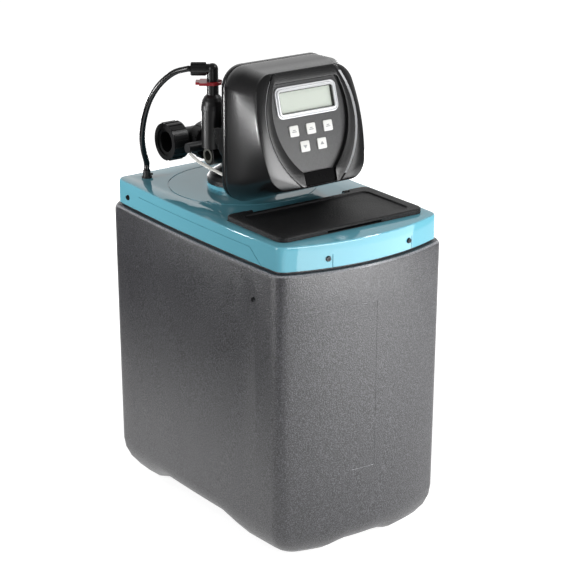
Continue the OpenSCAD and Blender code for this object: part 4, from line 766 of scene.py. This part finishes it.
# %% Lid plate
LID_W, LID_T, LID_Z = 268.0, 8.0, 509.4
LID_FRONT, LID_REAR, NOTCH_W, NOTCH_Y = -201.0, -54.0, 190.0, -66.0
LID_CORNERS = ((LID_W / 2, LID_FRONT, 16.0), (LID_W / 2, LID_REAR, 11.0), (NOTCH_W / 2, LID_REAR, 5.5),
               (NOTCH_W / 2, NOTCH_Y, 5.5))
PAN_SIDE, PAN_FRONT, PAN_REAR, PAN_DEPTH, PAN_SLOPE, PAN_R = 17.0, 13.0, 9.0, 2.2, 1.6, 10.0
lid = bmesh.new()
bmesh.ops.create_grid(lid, x_segments=1, y_segments=1, size=0.5)
bmesh.ops.scale(lid, vec=(LID_W, LID_REAR - LID_FRONT, 1), verts=lid.verts)
bmesh.ops.translate(lid, vec=(0, (LID_REAR + LID_FRONT) / 2, 0), verts=lid.verts)
notch_cuts = (((NOTCH_W / 2, 0, 0), (1, 0, 0)), ((-NOTCH_W / 2, 0, 0), (1, 0, 0)),
              ((0, NOTCH_Y, 0), (0, 1, 0)))
for point, normal in notch_cuts:
    bmesh.ops.bisect_plane(lid, geom=everything(lid), plane_co=point, plane_no=normal)
middles = {f: f.calc_center_median() for f in lid.faces}
notch = [f for f, m in middles.items() if abs(m.x) < NOTCH_W / 2 and m.y > NOTCH_Y]
bmesh.ops.delete(lid, geom=notch, context="FACES")
bmesh.ops.dissolve_faces(lid, faces=lid.faces[:])
bmesh.ops.dissolve_limit(lid, angle_limit=math.radians(1), verts=lid.verts, edges=lid.edges)
for x, y, radius in LID_CORNERS:
    corners = [v for v in lid.verts if abs(abs(v.co.x) - x) < 0.01 and abs(v.co.y - y) < 0.01]
    bmesh.ops.bevel(lid, geom=corners, offset=radius, offset_type="OFFSET", segments=6, profile=0.5,
                    affect="VERTICES", clamp_overlap=False, material=-1)
print("lid outline", len(lid.verts), "points")

# %% Lid with its rounded edge and pan
EDGE_ROUND = 2.6
HINGE_Y, EAR_R = -58.0, 3.9
drawn = bmesh.ops.extrude_face_region(lid, geom=lid.faces[:])
top_verts = [v for v in drawn["geom"] if isinstance(v, bmesh.types.BMVert)]
bmesh.ops.translate(lid, vec=(0, 0, LID_T), verts=top_verts)
bmesh.ops.recalc_face_normals(lid, faces=lid.faces)
top = [e for e in lid.edges if all(v.co.z > LID_T / 2 for v in e.verts)]
bmesh.ops.bevel(lid, geom=top, offset=EDGE_ROUND, offset_type="OFFSET", segments=4, profile=0.5,
                affect="EDGES", clamp_overlap=False, material=-1)
pan_low, pan_high = LID_FRONT + PAN_FRONT, NOTCH_Y - PAN_REAR
pan_half = LID_W / 2 - PAN_SIDE
pan_cuts = (((pan_half, 0, 0), (1, 0, 0)), ((-pan_half, 0, 0), (1, 0, 0)), ((0, pan_low, 0), (0, 1, 0)),
            ((0, pan_high, 0), (0, 1, 0)))
for point, normal in pan_cuts:
    flat = [f for f in lid.faces if all(abs(v.co.z - LID_T) < 0.001 for v in f.verts)]
    bmesh.ops.bisect_plane(lid, geom=whole(flat), plane_co=point, plane_no=normal)
pan = [f for f in lid.faces if all(abs(v.co.z - LID_T) < 0.001 for v in f.verts)
       and abs(f.calc_center_median().x) < pan_half and pan_low < f.calc_center_median().y < pan_high]
print("pan faces", len(pan))
bmesh.ops.inset_region(lid, faces=pan, thickness=PAN_SLOPE, depth=-PAN_DEPTH, use_even_offset=True)
walls = [e for e in lid.edges if abs(e.verts[0].co.z - e.verts[1].co.z) > PAN_DEPTH * 0.9
         and min(v.co.z for v in e.verts) > LID_T / 2 and abs(e.verts[0].co.x - e.verts[1].co.x) > 1.0]
bmesh.ops.bevel(lid, geom=walls, offset=PAN_R, offset_type="OFFSET", segments=6, profile=0.5, affect="EDGES",
                clamp_overlap=False, material=-1)
bmesh.ops.bisect_plane(lid, geom=everything(lid), plane_co=(0, HINGE_Y, 0), plane_no=(0, 1, 0))
for v in lid.verts:
    arm = Vector((0, v.co.y - HINGE_Y, v.co.z - LID_T / 2))
    if arm.y > 0 > arm.z and arm.length > EAR_R:
        v.co += arm * (EAR_R / arm.length - 1)

# %% [markdown]
# ## Finger slot
# Fingers lift the lid by a slot in its front edge. Four cuts mark its mouth on the front face, and the face
# between them is pushed in, which gives a real dark gap instead of a painted line.

# %% Finger slot in the lid's front
SLOT_HALF, SLOT_LOW, SLOT_HIGH, SLOT_DEEP = 50.0, 0.8, 4.4, 11.0
FORWARD = -0.99
slot_cuts = (((SLOT_HALF, 0, 0), (1, 0, 0)), ((-SLOT_HALF, 0, 0), (1, 0, 0)), ((0, 0, SLOT_LOW), (0, 0, 1)),
             ((0, 0, SLOT_HIGH), (0, 0, 1)))
for point, normal in slot_cuts:
    front = [f for f in lid.faces if f.normal.y < FORWARD]
    bmesh.ops.bisect_plane(lid, geom=whole(front), plane_co=point, plane_no=normal)
middles = {f: f.calc_center_median() for f in lid.faces if f.normal.y < FORWARD}
mouth = [f for f, m in middles.items() if abs(m.x) < SLOT_HALF and SLOT_LOW < m.z < SLOT_HIGH]
pushed = bmesh.ops.extrude_face_region(lid, geom=mouth)
inner_verts = [v for v in pushed["geom"] if isinstance(v, bmesh.types.BMVert)]
bmesh.ops.translate(lid, vec=(0, SLOT_DEEP, 0), verts=inner_verts)
bmesh.ops.delete(lid, geom=mouth, context="FACES_ONLY")
print("slot faces", len(mouth))

# %% Lid in its place
bmesh.ops.transform(lid, matrix=Matrix.Translation((0, 0, LID_Z * MM)) @ Matrix.Scale(MM, 4), verts=lid.verts)
smooth_shading(lid, 34)
under = merged_copy("salt_lid")
bmesh.ops.bisect_plane(under, geom=everything(under), plane_co=(0, 0, LID_Z * MM), plane_no=(0, 0, 1),
                       clear_outer=True)
plug_mesh = bpy.data.meshes.new("plug")
under.to_mesh(plug_mesh)
under.free()
lid.from_mesh(plug_mesh)
bpy.data.meshes.remove(plug_mesh)
new_piece("lid_plate", lid, "lid", "lid_plastic", ("salt_lid",))

# %% [markdown]
# ## Hinge lugs
# The lugs stand on the cover but are black like the lid, so a black copy, a hair larger, covers the imported
# ones.

# %% Black hinge lugs
LUG_SKIN, LUG_FOOT, LUG_REAR = 0.05, 509.02, -50.0
bm = merged_copy("top_cover")
for point, outward in (((0, 0, LUG_FOOT), (0, 0, -1)), ((0, LUG_REAR, 0), (0, 1, 0))):
    bmesh.ops.bisect_plane(bm, geom=everything(bm), plane_co=Vector(point) * MM, plane_no=outward,
                           clear_outer=True)
for v in bm.verts:
    v.co += v.normal * LUG_SKIN * MM
smooth_shading(bm, 34)
new_piece("hinge_lugs", bm, "cabinet", "lid_plastic")

# %% [markdown]
# ## Brine tube
# The black tube runs from the refill elbow down through the cover to the brine valve. A curve through the
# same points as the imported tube, with a round section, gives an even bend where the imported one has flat
# facets.

# %% Brine tube
TUBE_R = 4.75
REFILL = Vector((-77.5, 60, 712))
OUTWARD = Vector((math.cos(math.radians(144)), math.sin(math.radians(144)), 0))
TUBE_ROUTE = [REFILL + OUTWARD * 18.5, REFILL + OUTWARD * 33.3, REFILL + OUTWARD * 38.3, (-119, 105, 703),
              (-128, 130, 682), (-133, 152, 654), (-133, 170, 622), (-127, 188, 588), (-116, 203, 558),
              (-107, 209, 535), (-107, 209, 523), (-107, 209, 505), (-107, 209, 495), (-111, 202, 464),
              (-122, 180, 444), (-133, 145, 436), (-139, 100, 434), (-139, 50, 433), (-135, 0, 432),
              (-123, -48, 426), (-109, -76, 417), (-104, -92, 414), (-104, -103.9, 414)]
route = [Vector(p) * MM for p in TUBE_ROUTE]
data = bpy.data.curves.new("tube_route", "CURVE")
data.dimensions = "3D"
data.bevel_depth = TUBE_R * MM
data.bevel_resolution = 6
data.resolution_u = 10
data.use_fill_caps = True
line = data.splines.new("BEZIER")
line.bezier_points.add(len(route) - 1)
for i, point in enumerate(line.bezier_points):
    step = (route[min(i + 1, len(route) - 1)] - route[max(i - 1, 0)]) / 6
    point.co = route[i]
    point.handle_left = route[i] - step
    point.handle_right = route[i] + step
curve = bpy.data.objects.new("tube_route", data)
tube_mesh = bpy.data.meshes.new_from_object(curve)
bpy.data.objects.remove(curve)
bm = bmesh.new()
bm.from_mesh(tube_mesh)
bpy.data.meshes.remove(tube_mesh)
bmesh.ops.remove_doubles(bm, verts=bm.verts, dist=0.01 * MM)
bmesh.ops.recalc_face_normals(bm, faces=bm.faces)
smooth_shading(bm, 50)
new_piece("brine_line", bm, "cabinet", "tube_black", ("brine_tube",))
